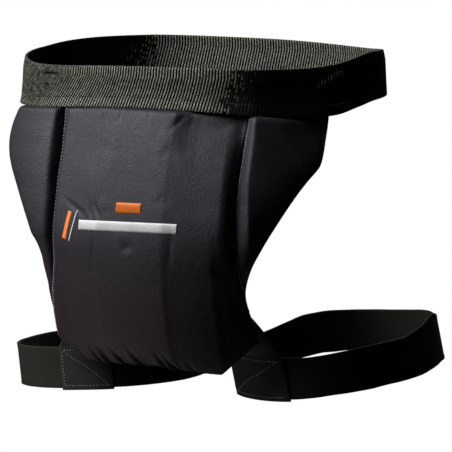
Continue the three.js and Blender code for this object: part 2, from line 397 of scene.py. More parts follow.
def outward(points: Array, faces: Array) -> Array:
    """The quads, all turned over where the volume that they enclose comes out negative."""
    a, b, c, d = np.moveaxis(points[faces], 1, 0)
    volume = np.einsum("ij,ij->", a, np.cross(b, c)) + np.einsum("ij,ij->", a, np.cross(c, d))
    return faces[:, ::-1] if volume < 0 else faces


def make_piece(
    name: str, points: Array, faces: Array, uv: Array, material: bpy.types.Material,
) -> bpy.types.Object:
    """Makes a smooth-shaded mesh object of quads.

    Args:
        name: the piece's name.
        points: vertices in millimetres.
        faces: vertex numbers of each quad.
        uv: texture place of each corner of each quad.
        material: the piece's finish.

    Returns:
        The object, at the origin, with its place in its mesh.
    """
    mesh = bpy.data.meshes.new(name)
    mesh.vertices.add(len(points))
    mesh.vertices.foreach_set("co", (points * MM).astype(np.float32).ravel())
    mesh.loops.add(faces.size)
    mesh.loops.foreach_set("vertex_index", faces.astype(np.int32).ravel())
    mesh.polygons.add(len(faces))
    mesh.polygons.foreach_set("loop_start", np.arange(0, faces.size, 4, dtype=np.int32))
    mesh.polygons.foreach_set("use_smooth", np.ones(len(faces), bool))
    layer = mesh.uv_layers.new(name="cloth")
    layer.data.foreach_set("uv", uv.astype(np.float32).ravel())
    mesh.materials.append(material)
    mesh.update(calc_edges=True)
    mesh.validate()
    piece = bpy.data.objects.new(name, mesh)
    bpy.context.scene.collection.objects.link(piece)
    return piece


def lofted(
    name: str, points: Array, marks: Array, ring: bool, material: bpy.types.Material,
) -> bpy.types.Object:
    """Makes a piece from closed sections.

    Args:
        name: the piece's name.
        points: the sections in millimetres.
        marks: texture place of each section's points, one section more for a ring and one point more round.
        ring: whether the sections go round.
        material: the piece's finish.

    Returns:
        The object.
    """
    faces, corners = loft(points, ring)
    flat = points.reshape(-1, 3)
    turned = outward(flat, faces)
    if turned is not faces:
        corners = corners[:, ::-1]
    return make_piece(name, flat, turned, marks[corners[..., 0], corners[..., 1]], material)


def cloth_body(name: str, outer: Array, inner: Array, material: bpy.types.Material) -> bpy.types.Object:
    """Makes a closed piece between an outer and an inner sheet of the same rows and columns.

    A section is a row of the outer sheet and the same row of the inner one, read backwards. The texture place
    follows the outer sheet in metres: the length across each row, and the mean length down the rows.

    Args:
        name: the piece's name.
        outer: the outer sheet.
        inner: the inner sheet.
        material: the piece's finish.

    Returns:
        The object.
    """
    sections = np.concatenate([outer, inner[:, ::-1]], axis=1)
    wide = np.linalg.norm(np.diff(outer, axis=1), axis=-1)
    across = np.concatenate([np.zeros((len(outer), 1)), np.cumsum(wide, 1)], 1)
    across = across - across[:, -1:] / 2
    step = np.linalg.norm(np.diff(outer, axis=0), axis=-1).mean(1)
    down = np.concatenate([[0.0], np.cumsum(step)])
    round_trip = np.concatenate([across, across[:, ::-1], across[:, :1]], 1)
    marks = np.stack([round_trip, np.broadcast_to(down[:, None], round_trip.shape)], -1) * MM
    return lofted(name, sections, marks, False, material)


def band_section(first: float, last: float, edge: float, rows: int) -> tuple[Array, Array]:
    """A flat band's section as a closed loop: along its outer face, round its edge, back and round the other.

    Args:
        first: where the flat of the face starts.
        last: where it ends.
        edge: how far the rounded edge goes on beyond it, with the sign of the way from first to last.
        rows: points along a face.

    Returns:
        The place across the band, and the distance out from the middle of the thickness as -1 to 1.
    """
    face, turn = np.linspace(first, last, rows), np.asarray(EDGE_TURNS) * np.pi
    place = np.concatenate([face, last + edge * np.sin(turn), face[::-1], first - edge * np.sin(turn)])
    out = np.concatenate([np.ones(rows), np.cos(turn), -np.ones(rows), -np.cos(turn)])
    return place, out


def half_round(outer: Array, inner: Array, beyond: Array, axis: int) -> tuple[Array, Array]:
    """Both sheets with lines added after their last one along an axis, that meet in a half circle.

    Args:
        outer: the outer sheet.
        inner: the inner sheet.
        beyond: the way from the last line to the middle of the half circle's end.
        axis: 0 to add rows and 1 to add columns.

    Returns:
        The outer sheet and the inner sheet.
    """
    last = (slice(None),) * axis + (slice(-1, None),)
    middle, half = (outer[last] + inner[last]) / 2, (outer[last] - inner[last]) / 2
    angle = np.expand_dims(np.asarray(ROUND_SHARES) * np.pi / 2, (1 - axis, 2))
    away, apart = beyond * np.sin(angle), half * np.cos(angle)
    return (np.concatenate([outer, middle + apart + away], axis),
            np.concatenate([inner, middle - apart + away], axis))


def dress(
    piece: bpy.types.Object, nodes: tuple[str, ...] = (),
) -> None:
    """Puts a piece on the part's body, hides the CAD nodes that it stands for and logs its quads.

    Args:
        piece: the object.
        nodes: the CAD nodes that it stands for.
    """
    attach(piece, "root")
    if nodes:
        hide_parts(*nodes)
    LOG.info("%s: %d quads", piece.name, len(piece.data.polygons))


class NodeBoard:
    """A node tree with short ways to add nodes and join them."""

    def __init__(self, tree: bpy.types.NodeTree) -> None:
        """Starts from an empty tree."""
        self.tree = tree
        self.tree.nodes.clear()

    def add(self, kind: str, inputs: dict | None = None, **settings: object) -> bpy.types.Node:
        """Adds a node.

        Args:
            kind: the node's type.
            inputs: values or sockets by input name or number.
            settings: the node's own properties.

        Returns:
            The node.
        """
        node = self.tree.nodes.new(kind)
        for key, value in settings.items():
            setattr(node, key, value)
        for key, value in (inputs or {}).items():
            self.feed(node, key, value)
        return node

    def feed(self, node: bpy.types.Node, key: str | int, value: object) -> None:
        """Sets an input to a value, or links it where the value is a socket."""
        if isinstance(value, bpy.types.NodeSocket):
            self.tree.links.new(value, node.inputs[key])
        else:
            node.inputs[key].default_value = value

    def math(self, operation: str, a: object, b: object = 0.0) -> bpy.types.NodeSocket:
        """Adds a math node on one or two values."""
        return self.add("ShaderNodeMath", {0: a, 1: b}, operation=operation).outputs[0]

    def blend(self, share: object, a: object, b: object) -> bpy.types.NodeSocket:
        """Adds a mix of two colours."""
        node = self.add("ShaderNodeMix", {0: share, 6: a, 7: b}, data_type="RGBA")
        return node.outputs[2]

    def ranged(self, value: object, low: object, high: object) -> bpy.types.NodeSocket:
        """Adds a map of 0 to 1 onto low to high."""
        return self.add("ShaderNodeMapRange", {0: value, 3: low, 4: high}).outputs[0]

    def spread(self, value: object, start: float, end: float, **settings: object) -> bpy.types.NodeSocket:
        """Adds a map of start to end onto 0 to 1."""
        return self.add("ShaderNodeMapRange", {0: value, 1: start, 2: end}, **settings).outputs[0]

    def noise(self, place: bpy.types.NodeSocket, scale: object, **grain: float) -> bpy.types.NodeSocket:
        """Adds soft noise."""
        return self.add("ShaderNodeTexNoise", {"Vector": place, "Scale": scale, **grain}).outputs[0]

    def bump(self, height: bpy.types.NodeSocket, depth: float, **before: object) -> bpy.types.NodeSocket:
        """Adds a bump of a depth in millimetres, over the normal before it where there is one."""
        inputs = {"Height": height, "Distance": depth * MM, "Strength": 1.0, **before}
        return self.add("ShaderNodeBump", inputs).outputs[0]


def new_material(name: str) -> tuple[bpy.types.Material, NodeBoard]:
    """Makes an empty material, and a board on its nodes."""
    made = bpy.data.materials.new(name)
    made.use_nodes = True
    return made, NodeBoard(made.node_tree)


def rgba(colour: Colour) -> tuple[float, float, float, float]:
    """Linear colour with full alpha, from screen levels of 0 to 255."""
    share = np.asarray(colour, float) / 255
    linear = np.where(share <= 0.04045, share / 12.92, ((share + 0.055) / 1.055) ** 2.4)
    return (*map(float, linear), 1.0)


class Effects:
    """Node groups that several finishes use, each built once."""

    WEAVE = "cloth_weave"
    MOTTLE = "soft_mottle"
    FUZZ_SCALE = 900.0
    FUZZ_SHARE = 0.5
    WAVE_SHARE = 0.35
    WAVE_LEVEL = 0.25
    BROAD_SHARE = 0.4
    SHADE_SPAN = (0.3, 0.7)

    @staticmethod
    def _group(name: str, scales: tuple[str, ...], result: str) -> tuple[bpy.types.NodeTree, NodeBoard]:
        """Starts a node group that takes a place and some scales, and puts out one value."""
        tree = bpy.data.node_groups.new(name, "ShaderNodeTree")
        tree.interface.new_socket("Place", in_out="INPUT", socket_type="NodeSocketVector")
        for label in scales:
            tree.interface.new_socket(label, in_out="INPUT", socket_type="NodeSocketFloat")
        tree.interface.new_socket(result, in_out="OUTPUT", socket_type="NodeSocketFloat")
        return tree, NodeBoard(tree)

    @classmethod
    def weave(cls) -> bpy.types.NodeTree:
        """Over-and-under threads: the product of one wave across and one along, roughened by fine noise."""
        if cls.WEAVE in bpy.data.node_groups:
            return bpy.data.node_groups[cls.WEAVE]
        tree, board = cls._group(cls.WEAVE, ("Across", "Along"), "Height")
        entry = board.add("NodeGroupInput")
        parts = board.add("ShaderNodeSeparateXYZ", {0: entry.outputs["Place"]})
        wave_u = board.math("SINE", board.math("MULTIPLY", parts.outputs[0], entry.outputs["Across"]))
        wave_v = board.math("SINE", board.math("MULTIPLY", parts.outputs[1], entry.outputs["Along"]))
        crossed = board.math("MULTIPLY", wave_u, wave_v)
        fuzz = board.noise(entry.outputs["Place"], cls.FUZZ_SCALE, Detail=2.0)
        height = board.math("MULTIPLY_ADD", crossed, cls.WAVE_SHARE)
        height.node.inputs[2].default_value = cls.WAVE_LEVEL
        total = board.math("ADD", height, board.math("MULTIPLY", fuzz, cls.FUZZ_SHARE))
        board.add("NodeGroupOutput", {"Height": total})
        return tree

    @classmethod
    def mottle(cls) -> bpy.types.NodeTree:
        """Uneven shade of used cloth: broad noise with a share of fine noise."""
        if cls.MOTTLE in bpy.data.node_groups:
            return bpy.data.node_groups[cls.MOTTLE]
        tree, board = cls._group(cls.MOTTLE, ("Broad", "Fine"), "Shade")
        entry = board.add("NodeGroupInput")
        broad = board.noise(entry.outputs["Place"], entry.outputs["Broad"], Detail=3.0, Roughness=0.6)
        fine = board.noise(entry.outputs["Place"], entry.outputs["Fine"], Detail=2.0)
        both = board.math("ADD", board.math("MULTIPLY", broad, cls.BROAD_SHARE),
                          board.math("MULTIPLY", fine, 1 - cls.BROAD_SHARE))
        board.add("NodeGroupOutput", {"Shade": board.spread(both, *cls.SHADE_SPAN)})
        return tree


@dataclass(frozen=True)
class ClothFinish:
    """A woven or knitted cloth with an uneven shade, fine threads and a soft sheen."""

    name: str
    dark: Colour
    pale: Colour
    roughness: tuple[float, float]
    across: float
    along: float
    thread_depth: float
    rumple_depth: float
    rumple_scale: float
    broad: float = 28.0
    fine: float = 420.0
    mottle_share: float = 0.65
    sheen: float = 0.0
    sheen_roughness: float = 0.4
    specular: float = 0.5
    tint: Colour = (1.0, 1.0, 1.0)
    grain_depth: float = 0.03
    # painted warm tint, a little darker, of light bounced up from below over the pad's lower part, and its
    # span of heights
    painted_bounce_tones: tuple[Colour, Colour] | None = None
    painted_bounce_span: tuple[float, float] = (-215.0, -135.0)

    @classmethod
    def thread(
        cls, name: str, dark: Colour, pale: Colour, roughness: tuple[float, float] = (0.5, 0.65),
    ) -> "ClothFinish":
        """A sewing thread."""
        return cls(name, dark, pale, roughness, across=0.5, along=0.5, thread_depth=0.03, rumple_depth=0.02,
                   rumple_scale=400.0)

    @classmethod
    def satin(cls, name: str, dark: Colour, pale: Colour) -> "ClothFinish":
        """Satin stitch: long threads side by side."""
        return cls(name, dark, pale, (0.4, 0.55), across=0.6, along=30.0, thread_depth=0.04,
                   rumple_depth=0.03, rumple_scale=300.0, sheen=0.1)

    def material(self) -> bpy.types.Material:
        """The cloth's material: mottled shade and roughness, threads by its UV map, rumples by place, and
        where set a painted warm tint of bounce light low down.
        """
        made = bpy.data.materials.get(self.name)
        if made:
            return made
        made, board = new_material(self.name)
        place = board.add("ShaderNodeTexCoord")
        mottle = board.add("ShaderNodeGroup", {
            "Place": place.outputs["Object"], "Broad": self.broad, "Fine": self.fine,
        }, node_tree=Effects.mottle())
        weave = board.add("ShaderNodeGroup", {
            "Place": place.outputs["UV"], "Across": 2 * np.pi / (self.across * MM),
            "Along": 2 * np.pi / (self.along * MM),
        }, node_tree=Effects.weave())
        shade = board.math("ADD", board.math("MULTIPLY", mottle.outputs[0], self.mottle_share),
                           board.math("MULTIPLY", weave.outputs[0], 1 - self.mottle_share))
        rumple = board.noise(place.outputs["Object"], self.rumple_scale, Detail=3.0, Roughness=0.55)
        soft = board.bump(rumple, self.rumple_depth)
        grain = board.bump(mottle.outputs[0], self.grain_depth, Normal=soft)
        threads = board.bump(weave.outputs[0], self.thread_depth, Normal=grain)
        tone = board.blend(shade, rgba(self.dark), rgba(self.pale))
        # painted bounce light: towards the bottom the tone goes over to warmer, darker colours
        if self.painted_bounce_tones:
            height = board.add("ShaderNodeSeparateXYZ", {0: place.outputs["Object"]}).outputs[2]
            upper = board.spread(height, *(end * MM for end in self.painted_bounce_span))
            tone = board.blend(upper, board.blend(shade, *map(rgba, self.painted_bounce_tones)), tone)
        skin = board.add("ShaderNodeBsdfPrincipled", {
            "Base Color": tone,
            "Roughness": board.ranged(mottle.outputs[0], *self.roughness),
            "Normal": threads,
            "Sheen Weight": self.sheen,
            "Sheen Roughness": self.sheen_roughness,
            "Specular IOR Level": self.specular,
            "Specular Tint": (*self.tint, 1.0),
        })
        board.add("ShaderNodeOutputMaterial", {"Surface": skin.outputs[0]})
        return made


@dataclass(frozen=True)
class RibbedFinish:
    """Ribbed webbing: pale cords of beaded thread between dark grooves, with painted light, sheen and shade.
    """

    name: str
    groove: Colour
    # the cords' pale thread colours stand partly for the yarn and partly for painted sheen on it
    thread: Colour
    worn: Colour
    pitch: float
    bead_length: float
    bead_depth: float = 0.15
    bead_swing: float = 0.9
    bead_dip: float = 0.45
    crest_from: float = 0.56
    broad: float = 260.0
    fine: float = 450.0
    patchy: float = 0.25
    shown_span: tuple[float, float] = (-0.02, 0.04)
    painted_light_power: float = 0.5
    uneven: tuple[float, float] = (0.55, 1.15)
    bunched: tuple[float, float] = (-0.06, 0.44)
    roughness: tuple[float, float] = (0.55, 0.75)
    specular: float = 0.04
    painted_light_name: str = "wear"
    order_name: str = "order"

    def material(self) -> bpy.types.Material:
        """The webbing's material: cords and beads by the belt's UV map, by painted light and shade and how
        bunched it is.
        """
        made, board = new_material(self.name)
        place = board.add("ShaderNodeTexCoord")
        parts = board.add("ShaderNodeSeparateXYZ", {0: place.outputs["UV"]})
        number = board.math("MULTIPLY", parts.outputs[0], 1 / (MM * self.pitch))
        cord = board.math("ABSOLUTE", board.math("SINE", board.math("MULTIPLY", number, np.pi)))
        odd = board.math("MULTIPLY", board.math("FLOOR", number), np.pi)
        bead = board.math("SINE", board.math("ADD", odd, board.math(
            "MULTIPLY", parts.outputs[1], 2 * np.pi / (MM * self.bead_length))))
        beaded = board.ranged(board.spread(bead, -self.bead_swing, self.bead_swing), self.bead_dip, 1.0)
        mottle = board.add("ShaderNodeGroup", {
            "Place": place.outputs["Object"], "Broad": self.broad, "Fine": self.fine,
        }, node_tree=Effects.mottle())
        crest = board.spread(cord, self.crest_from, 1.0, interpolation_type="SMOOTHSTEP")
        # the belt's painted light and shade mask: pale threads show where it is high, patchily at its edge
        wear = board.add("ShaderNodeAttribute", attribute_name=self.painted_light_name).outputs["Fac"]
        cell = board.add("ShaderNodeCombineXYZ", {0: board.math("FLOOR", number), 1: board.math(
            "FLOOR", board.math("MULTIPLY", parts.outputs[1], 1 / (MM * self.bead_length)))})
        chance = board.add("ShaderNodeTexWhiteNoise", {"Vector": cell.outputs[0]}, noise_dimensions="2D")
        spare = board.math("SUBTRACT", wear, board.math("MULTIPLY", chance.outputs[0], self.patchy))
        shown = board.spread(spare, *self.shown_span)
        pale = board.math("MULTIPLY", shown, board.math("POWER", wear, self.painted_light_power))
        order = board.add("ShaderNodeAttribute", attribute_name=self.order_name).outputs["Fac"]
        uneven = board.ranged(mottle.outputs[0], *self.uneven)
        ribs = board.math("MULTIPLY", board.math("MULTIPLY", crest, beaded), uneven)
        pattern = board.ranged(order, board.ranged(mottle.outputs[0], *self.bunched), ribs)
        level = board.math("MULTIPLY", pattern, pale)
        thread = board.blend(mottle.outputs[0], rgba(self.thread), rgba(self.worn))
        bump = board.bump(board.math("ADD", beaded, mottle.outputs[0]), self.bead_depth)
        skin = board.add("ShaderNodeBsdfPrincipled", {
            # groove colour between the cords and under painted shade, thread colour where painted light falls
            "Base Color": board.blend(level, rgba(self.groove), thread),
            "Roughness": board.ranged(mottle.outputs[0], *self.roughness),
            "Normal": bump,
            "Specular IOR Level": self.specular,
        })
        board.add("ShaderNodeOutputMaterial", {"Surface": skin.outputs[0]})
        return made


# the pad's cloth has a painted warm bounce tint low down
PAD_CLOTH = ClothFinish(
    "pad_satin_cloth", dark=(25, 24, 29), pale=(40, 38, 44), roughness=(0.4, 0.68), across=0.7, along=0.7,
    thread_depth=0.1, rumple_depth=0.3, rumple_scale=60.0, fine=520.0, grain_depth=0.21, specular=0.34,
    tint=(0.93, 0.93, 1.0), painted_bounce_tones=((23, 15, 17), (37, 25, 28)),
)
STRAP_KNIT = ClothFinish(
    "strap_knitted_elastic", dark=(24, 26, 21), pale=(40, 42, 36), roughness=(0.7, 0.85), across=0.9,
    along=2.2, thread_depth=0.12, rumple_depth=0.25, rumple_scale=90.0, specular=0.12,
)
TAB_WEAVE = ClothFinish(
    "tab_woven_band", dark=(23, 25, 20), pale=(38, 40, 34), roughness=(0.7, 0.85), across=1.0, along=1.6,
    thread_depth=0.12, rumple_depth=0.3, rumple_scale=80.0, specular=0.3,
)
PAD_THREAD = ClothFinish.thread("pad_topstitch_thread", (138, 137, 142), (206, 205, 210))
TAB_THREAD = ClothFinish.thread("tab_topstitch_thread", (150, 152, 144), (226, 228, 218))
DIM_THREAD = ClothFinish.thread("tab_worn_thread", (84, 86, 79), (136, 138, 129))
BELT_THREAD = ClothFinish.thread("belt_sewing_thread", (20, 20, 18), (36, 36, 33), (0.55, 0.7))
WHITE_SATIN = ClothFinish.satin("white_satin_stitch", (196, 196, 198), (236, 236, 238))
ORANGE_SATIN = ClothFinish.satin("orange_satin_stitch", (196, 88, 14), (240, 130, 30))


@dataclass
class Stitching:
    """Short stitches: six-sided threads that bulge in the middle and dive into the cloth at both ends."""

    length: float
    width: float
    height: float
    pitch: float
    slant: float = 0.45
    shares: tuple[float, ...] = (0.0, 0.3, 0.7, 1.0)
    swell: tuple[float, ...] = (0.35, 1.0, 1.0, 0.35)
    lift: tuple[float, ...] = (-0.35, 0.3, 0.3, -0.35)

    def template(self) -> tuple[Array, Array]:
        """One stitch along X with Z out: rings of six points, and quads between them and over both ends."""
        angle = np.arange(6) * np.pi / 3
        along = (np.asarray(self.shares) - 0.5) * self.length
        swell, lift = np.asarray(self.swell)[:, None], np.asarray(self.lift)[:, None]
        points = np.stack(np.broadcast_arrays(
            along[:, None],
            swell * np.cos(angle) * self.width / 2,
            swell * np.sin(angle) * self.height / 2 + lift * self.height,
        ), -1).reshape(-1, 3)
        ring, spot = np.meshgrid(np.arange(len(along) - 1), np.arange(6), indexing="ij")
        after = (spot + 1) % 6
        walls = np.stack([ring * 6 + spot, ring * 6 + after, ring * 6 + 6 + after, ring * 6 + 6 + spot], -1)
        lid = np.array([[0, 1, 2, 3], [0, 3, 4, 5]])
        faces = np.concatenate([walls.reshape(-1, 4), lid[:, ::-1], lid + 6 * (len(along) - 1)])
        return points, outward(points, faces)

    def sew(
        self, name: str, spots: Array, along: Array, out: Array, finish: ClothFinish, slot: Slot,
    ) -> None:
        """Makes one joined mesh of stitches.

        Args:
            name: the piece's name.
            spots: the middle of each stitch.
            along: the direction of each stitch.
            out: the direction out of the cloth at each stitch.
            finish: the thread's finish.
            slot: not used.
        """
        points, faces = self.template()
        side = unit(np.cross(out, along))
        level = np.cross(side, out)
        axes = np.stack([level, side, out], 1)
        placed = spots[:, None, :] + np.einsum("pk,nkc->npc", points, axes)
        numbers = faces[None] + np.arange(len(spots))[:, None, None] * len(points)
        corner = points[faces][:, :, :2] * MM
        uv = np.broadcast_to(corner[None], (len(spots), *corner.shape)).reshape(-1, 4, 2)
        dress(make_piece(name, placed.reshape(-1, 3), numbers.reshape(-1, 4), uv, finish.material()))

    def zigzag(self, name: str, patch: Patch, down: Array, across: float, reach: float) -> None:
        """Makes a row of stitches on a pad, that slant to one side and to the other by turns.

        Args:
            name: the piece's name.
            patch: the pad's outer cloth.
            down: shares down the cloth that the row passes.
            across: its share across the cloth.
            reach: the share over which the cloth's direction is taken.
        """
        line = patch.at(down, np.full_like(down, across))
        number, along = spaced(line, self.pitch)
        spots = along_line(line, number)
        facing = patch.facing(down, np.full_like(down, across), reach)
        out = HIP.outer_side(unit(along_line(facing, number)), spots)
        slant = np.where(np.arange(len(spots)) % 2 == 0, self.slant, -self.slant)[:, None]
        self.sew(name, spots, unit(along + slant * np.cross(out, along)), out, PAD_THREAD, Slot.PAD)


def spaced(points: Array, pitch: float) -> tuple[Array, Array]:
    """Spots at an even pitch along a line of points.

    Args:
        points: the line.
        pitch: distance from spot to spot.

    Returns:
        Each spot's place in the line as a fractional number, and the unit direction there.
    """
    length = run_length(points)
    want = np.arange(pitch / 2, length[-1], pitch)
    number = np.interp(want, length, np.arange(len(points)))
    i = np.minimum(number.astype(int), len(points) - 2)
    return number, unit(points[i + 1] - points[i])


def along_line(line: Array, number: Array) -> Array:
    """Values of a line at fractional numbers."""
    i = np.minimum(number.astype(int), len(line) - 2)
    return mix(line[i], line[i + 1], (number - i)[:, None])


@dataclass
class ClothSettler:
    """Lets a sheet of cloth settle under the pressure of the foam behind it, held where it is sewn."""

    pressure: float = 0.5
    frames: int = 20
    cap: float = 0.7
    slack: float = 0.0015
    stiffness: float = 20.0
    bending: float = 0.4
    mass: float = 0.3
    quality: int = 6
    thin: int = 2
    held_drop: float = 1.0

    def relax(self, name: str, outer: Array, drop: Array, mirrored: bool = False) -> Array:
        """Settles a pad's cloth, held at its borders and behind the belt, by a grid of every second point.

        Args:
            name: a name for the sheet while it is simulated.
            outer: grid of the cloth's points.
            drop: how far below the belt's edge each one is.
            mirrored: whether the columns run from right to left.

        Returns:
            The settled grid.
        """
        coarse = outer[:: self.thin, :: self.thin]
        held = (drop[:: self.thin, :: self.thin] < self.held_drop).astype(float)
        held[-1] = 1
        held[:, [0, -1]] = 1
        way = slice(None, None, -1 if mirrored else 1)
        moved = Patch(self.settle(name, coarse[:, way], held[:, way])[:, way])
        sizes = zip(outer.shape[:2], coarse.shape[:2])
        shares = (np.arange(full) / self.thin / (few - 1) for full, few in sizes)
        return outer + moved.at(*np.meshgrid(*shares, indexing="ij"))

    def settle(self, name: str, points: Array, held: Array) -> Array:
        """Runs the cloth over the frames and caps how far a point moves.

        Args:
            name: a name for the sheet while it is simulated.
            points: grid of the sheet's points.
            held: grid of 0 to 1, 1 where the sheet is sewn down.

        Returns: How far each point moves.
        """
        rows, columns = points.shape[:2]
        i = np.arange(rows * columns).reshape(rows, columns)
        faces = np.stack([i[:-1, :-1], i[1:, :-1], i[1:, 1:], i[:-1, 1:]], -1).reshape(-1, 4)
        flat = points.reshape(-1, 3)
        mesh = bpy.data.meshes.new(name)
        mesh.from_pydata((flat * MM).tolist(), [], faces.tolist())
        sheet = bpy.data.objects.new(name, mesh)
        scene = bpy.context.scene
        scene.collection.objects.link(sheet)
        group = sheet.vertex_groups.new(name="sewn")
        for weight in np.unique(held.round(2)):
            chosen = np.flatnonzero(held.round(2).ravel() == weight)
            group.add(chosen.tolist(), float(weight), "REPLACE")
        cloth = sheet.modifiers.new("settle", "CLOTH")
        settings = cloth.settings
        settings.quality = self.quality
        settings.mass = self.mass
        settings.tension_stiffness = self.stiffness
        settings.compression_stiffness = self.stiffness
        settings.shear_stiffness = self.stiffness / 2
        settings.bending_stiffness = self.bending
        settings.shrink_min = -self.slack
        settings.use_pressure = True
        settings.uniform_pressure_force = self.pressure
        settings.vertex_group_mass = group.name
        settings.effector_weights.gravity = 0.0
        cloth.point_cache.frame_start = 1
        cloth.point_cache.frame_end = self.frames
        for number in range(1, self.frames + 1):
            scene.frame_set(number)
        solved = sheet.evaluated_get(bpy.context.evaluated_depsgraph_get()).to_mesh()
        moved = np.empty(len(flat) * 3, np.float32)
        solved.vertices.foreach_get("co", moved)
        scene.frame_set(1)
        bpy.data.objects.remove(sheet)
        bpy.data.meshes.remove(mesh)
        change = moved.reshape(-1, 3) / MM - flat
        far = np.linalg.norm(change, axis=1, keepdims=True)
        change = change * np.minimum(1.0, self.cap / np.maximum(far, 1e-6))
        LOG.info("%s settled by %.2f mm at most", name, float(np.minimum(far, self.cap).max()))
        return change.reshape(points.shape)


@dataclass
class WaistBelt:
    """The waist belt: ribbed webbing round the waist, sewn over the pad's top.

    Lean, order, outer and inner painted light rows: turn in degrees, value. Height painted light rows: height
    up
    the belt, value. Crease rows: turn, height. Wave rows: waves round the loop, start, twist down the belt,
    height.
    The painted light rows paint light and shade into the threads' colour: pale where the key light falls,
    dark where the belt turns from it.
    """

    thick: float = 2.0
    tall: float = 40.0
    rib_pitch: float = 3.0
    rib_height: float = 1.1
    rib_columns: int = 6
    face_rows: int = 17
    lean_rows: Rows = (
        (-180, -0.25), (-110, -0.2), (-60, 0.2), (-40, 0.35), (-28, 0.6), (-18, 0.5), (-8, 0.34), (5, 0.28),
        (20, 0.25), (60, 0.15), (110, -0.2), (180, -0.25),
    )
    band_lean: float = 0.14
    band_height: float = 9.5
    flare: float = 5.5
    flare_height: float = 18.0
    flare_reach: float = 52.0
    flare_fade: float = 14.0
    flare_power: float = 1.5
    hem_height: float = 31.0
    hem_tilt: float = 1.4
    # painted light round the outside: full in the middle, dimmer on the left, and painted shade (black) on
    # the right where the belt turns from the key light
    outer_painted_light: Rows = (
        (-180, 0.9), (-110, 0.75), (-70, 0.55), (-40, 0.5), (-31, 0.75), (-24, 1), (8, 1), (13, 0.8),
        (17, 0.4), (20, 0.2), (23, 0.09), (28, 0.03), (33, 0), (90, 0), (120, 0.4), (180, 0.9),
    )
    # painted shade inside: black where the inner wall faces away from the light on the front left, dimmer on
    # its right
    inner_painted_light: Rows = (
        (-180, 1), (-170, 1), (-162, 0.7), (-154, 0.28), (-147, 0.1), (-139, 0), (-90, 0), (-60, 0.4), (0, 1),
        (90, 0.45), (112, 0.5), (124, 0.95), (180, 1),
    )
    # painted light by height: painted shade in the sewn groove, paler where the lower band and the top edge
    # catch the light
    height_painted_light: Rows = (
        (0, 1), (7.5, 1), (8.8, 0.5), (10.2, 0.5), (12, 0.72), (27, 0.74), (31, 0.95), (40, 0.95),
    )
    order_rows: Rows = ((-180, 1), (-110, 1), (-85, 0), (-38, 0), (-30, 1), (180, 1))
    order_slant: float = 9.0
    fold_drop: float = 8.5
    fold_turn: float = -38.0
    fold_reach: float = 10.5
    fold_width: float = 1.3
    # width of the painted shade along the fold
    fold_shade: float = 1.9
    fold_depth: float = 2.0
    slack_turn: float = -8.0
    slack_reach: float = 34.0
    slack_width: float = 1.4
    slack_depth: float = 0.7
    # crease rows and width place a painted highlight along a crease that catches the light
    crease_rows: Rows = ((50, 25), (54, 28), (59, 31.5), (62, 31.8), (66, 30.5))
    crease_width: float = 1.0
    crease_painted_light: float = 0.75
    groove_depth: float = 0.6
    groove_width: float = 0.8
    wave_height: float = 0.5
    waves: Rows = ((3, 0.6, 0, 0.5), (7, 2.1, 1, 0.3), (13, 0, 3, 0.2))
    stitch_reach: float = 88.0
    stitching: Stitching = field(default_factory=lambda: Stitching(2.7, 0.8, 0.6, pitch=3.4))
    stitch_points: int = 1200
    stitch_sink: float = 0.1
    edge_share: float = 0.012
    edge_rib: float = 0.35
    rib_base: float = 0.6
    flat_rib: float = 0.25
    # ribs stand up as the painted light mask rises
    rib_painted_light: float = 2.5
    fine_turns: int = 4000

    def __post_init__(self) -> None:
        """Measures the loop at mid height and counts its ribs."""
        turns = np.linspace(0, 2 * np.pi, self.fine_turns + 1)
        points = HIP.ring(turns, np.zeros_like(turns), np.zeros_like(turns))
        self.fine = turns
        self.lengths = run_length(points)
        self.length = self.lengths[-1]
        self.ribs = int(round(self.length / self.rib_pitch))
        self.pitch = self.length / self.ribs

    def turn_at(self, along: Array) -> Array:
        """The turn at a length along the loop, which may pass its ends."""
        whole = np.floor(along / self.length)
        return np.interp(along - whole * self.length, self.lengths, self.fine) + whole * 2 * np.pi

    def creases(self, turn: Array, up: Array, tall: Array) -> Array:
        """Depths pressed into the outer face: the sewn line above the lower edge, and two slack folds."""
        degrees, drop = signed(turn), tall - up - self.fold_drop
        sewn = bell(up - self.band_height, self.groove_width) * (np.abs(degrees) < self.stitch_reach)
        fold = bell(drop, self.fold_width) * bell(degrees - self.fold_turn, self.fold_reach)
        slack = bell(drop, self.slack_width) * bell(degrees - self.slack_turn, self.slack_reach)
        return self.groove_depth * (sewn + self.fold_depth * fold + self.slack_depth * slack)

    def stand_off(self, turn: Array, up: Array) -> Array:
        """How far the belt's lower part stands off the hips, where it is sewn over the pad."""
        sewn = np.clip((self.flare_reach + self.flare_fade - np.abs(signed(turn))) / self.flare_fade, 0, 1)
        return self.flare * sewn * np.maximum(1 - up / self.flare_height, 0) ** self.flare_power

    def wear(self, along: Array, share: Array, out: Array) -> Array:
        """How pale the threads are painted, outside and inside, as painted light and shade: by turn and
        height, with painted shade in a fold and a painted highlight along a crease.
        """
        degrees = signed(self.turn_at(along))
        up = (1 - share) * self.tall
        # painted shade along the slack fold
        fold = bell(self.tall - up - self.fold_drop, self.fold_shade)
        fold = fold * bell(degrees - self.fold_turn, self.fold_reach)
        # painted light by turn and by height
        outside = straight(self.outer_painted_light, 1, degrees) * straight(self.height_painted_light, 1, up) * (1 - fold)
        # painted highlight along the crease
        crease = bell(up - straight(self.crease_rows, 1, degrees), self.crease_width) * self.crease_painted_light
        outside = outside + crease * (degrees > self.crease_rows[0][0]) * (degrees < self.crease_rows[-1][0])
        # inside: painted shade by turn
        return np.clip(np.where(out > 0, outside, straight(self.inner_painted_light, 1, degrees)), 0, 1)

    def order(self, along: Array, share: Array, out: Array) -> Array:
        """How clearly the ribs show: not where the belt is bunched, left of a slanting line."""
        slant = self.order_slant * ((1 - share) - 0.5)
        degrees = signed(self.turn_at(along) - np.radians(slant))
        return np.where(out > 0, straight(self.order_rows, 1, degrees), 1.0)

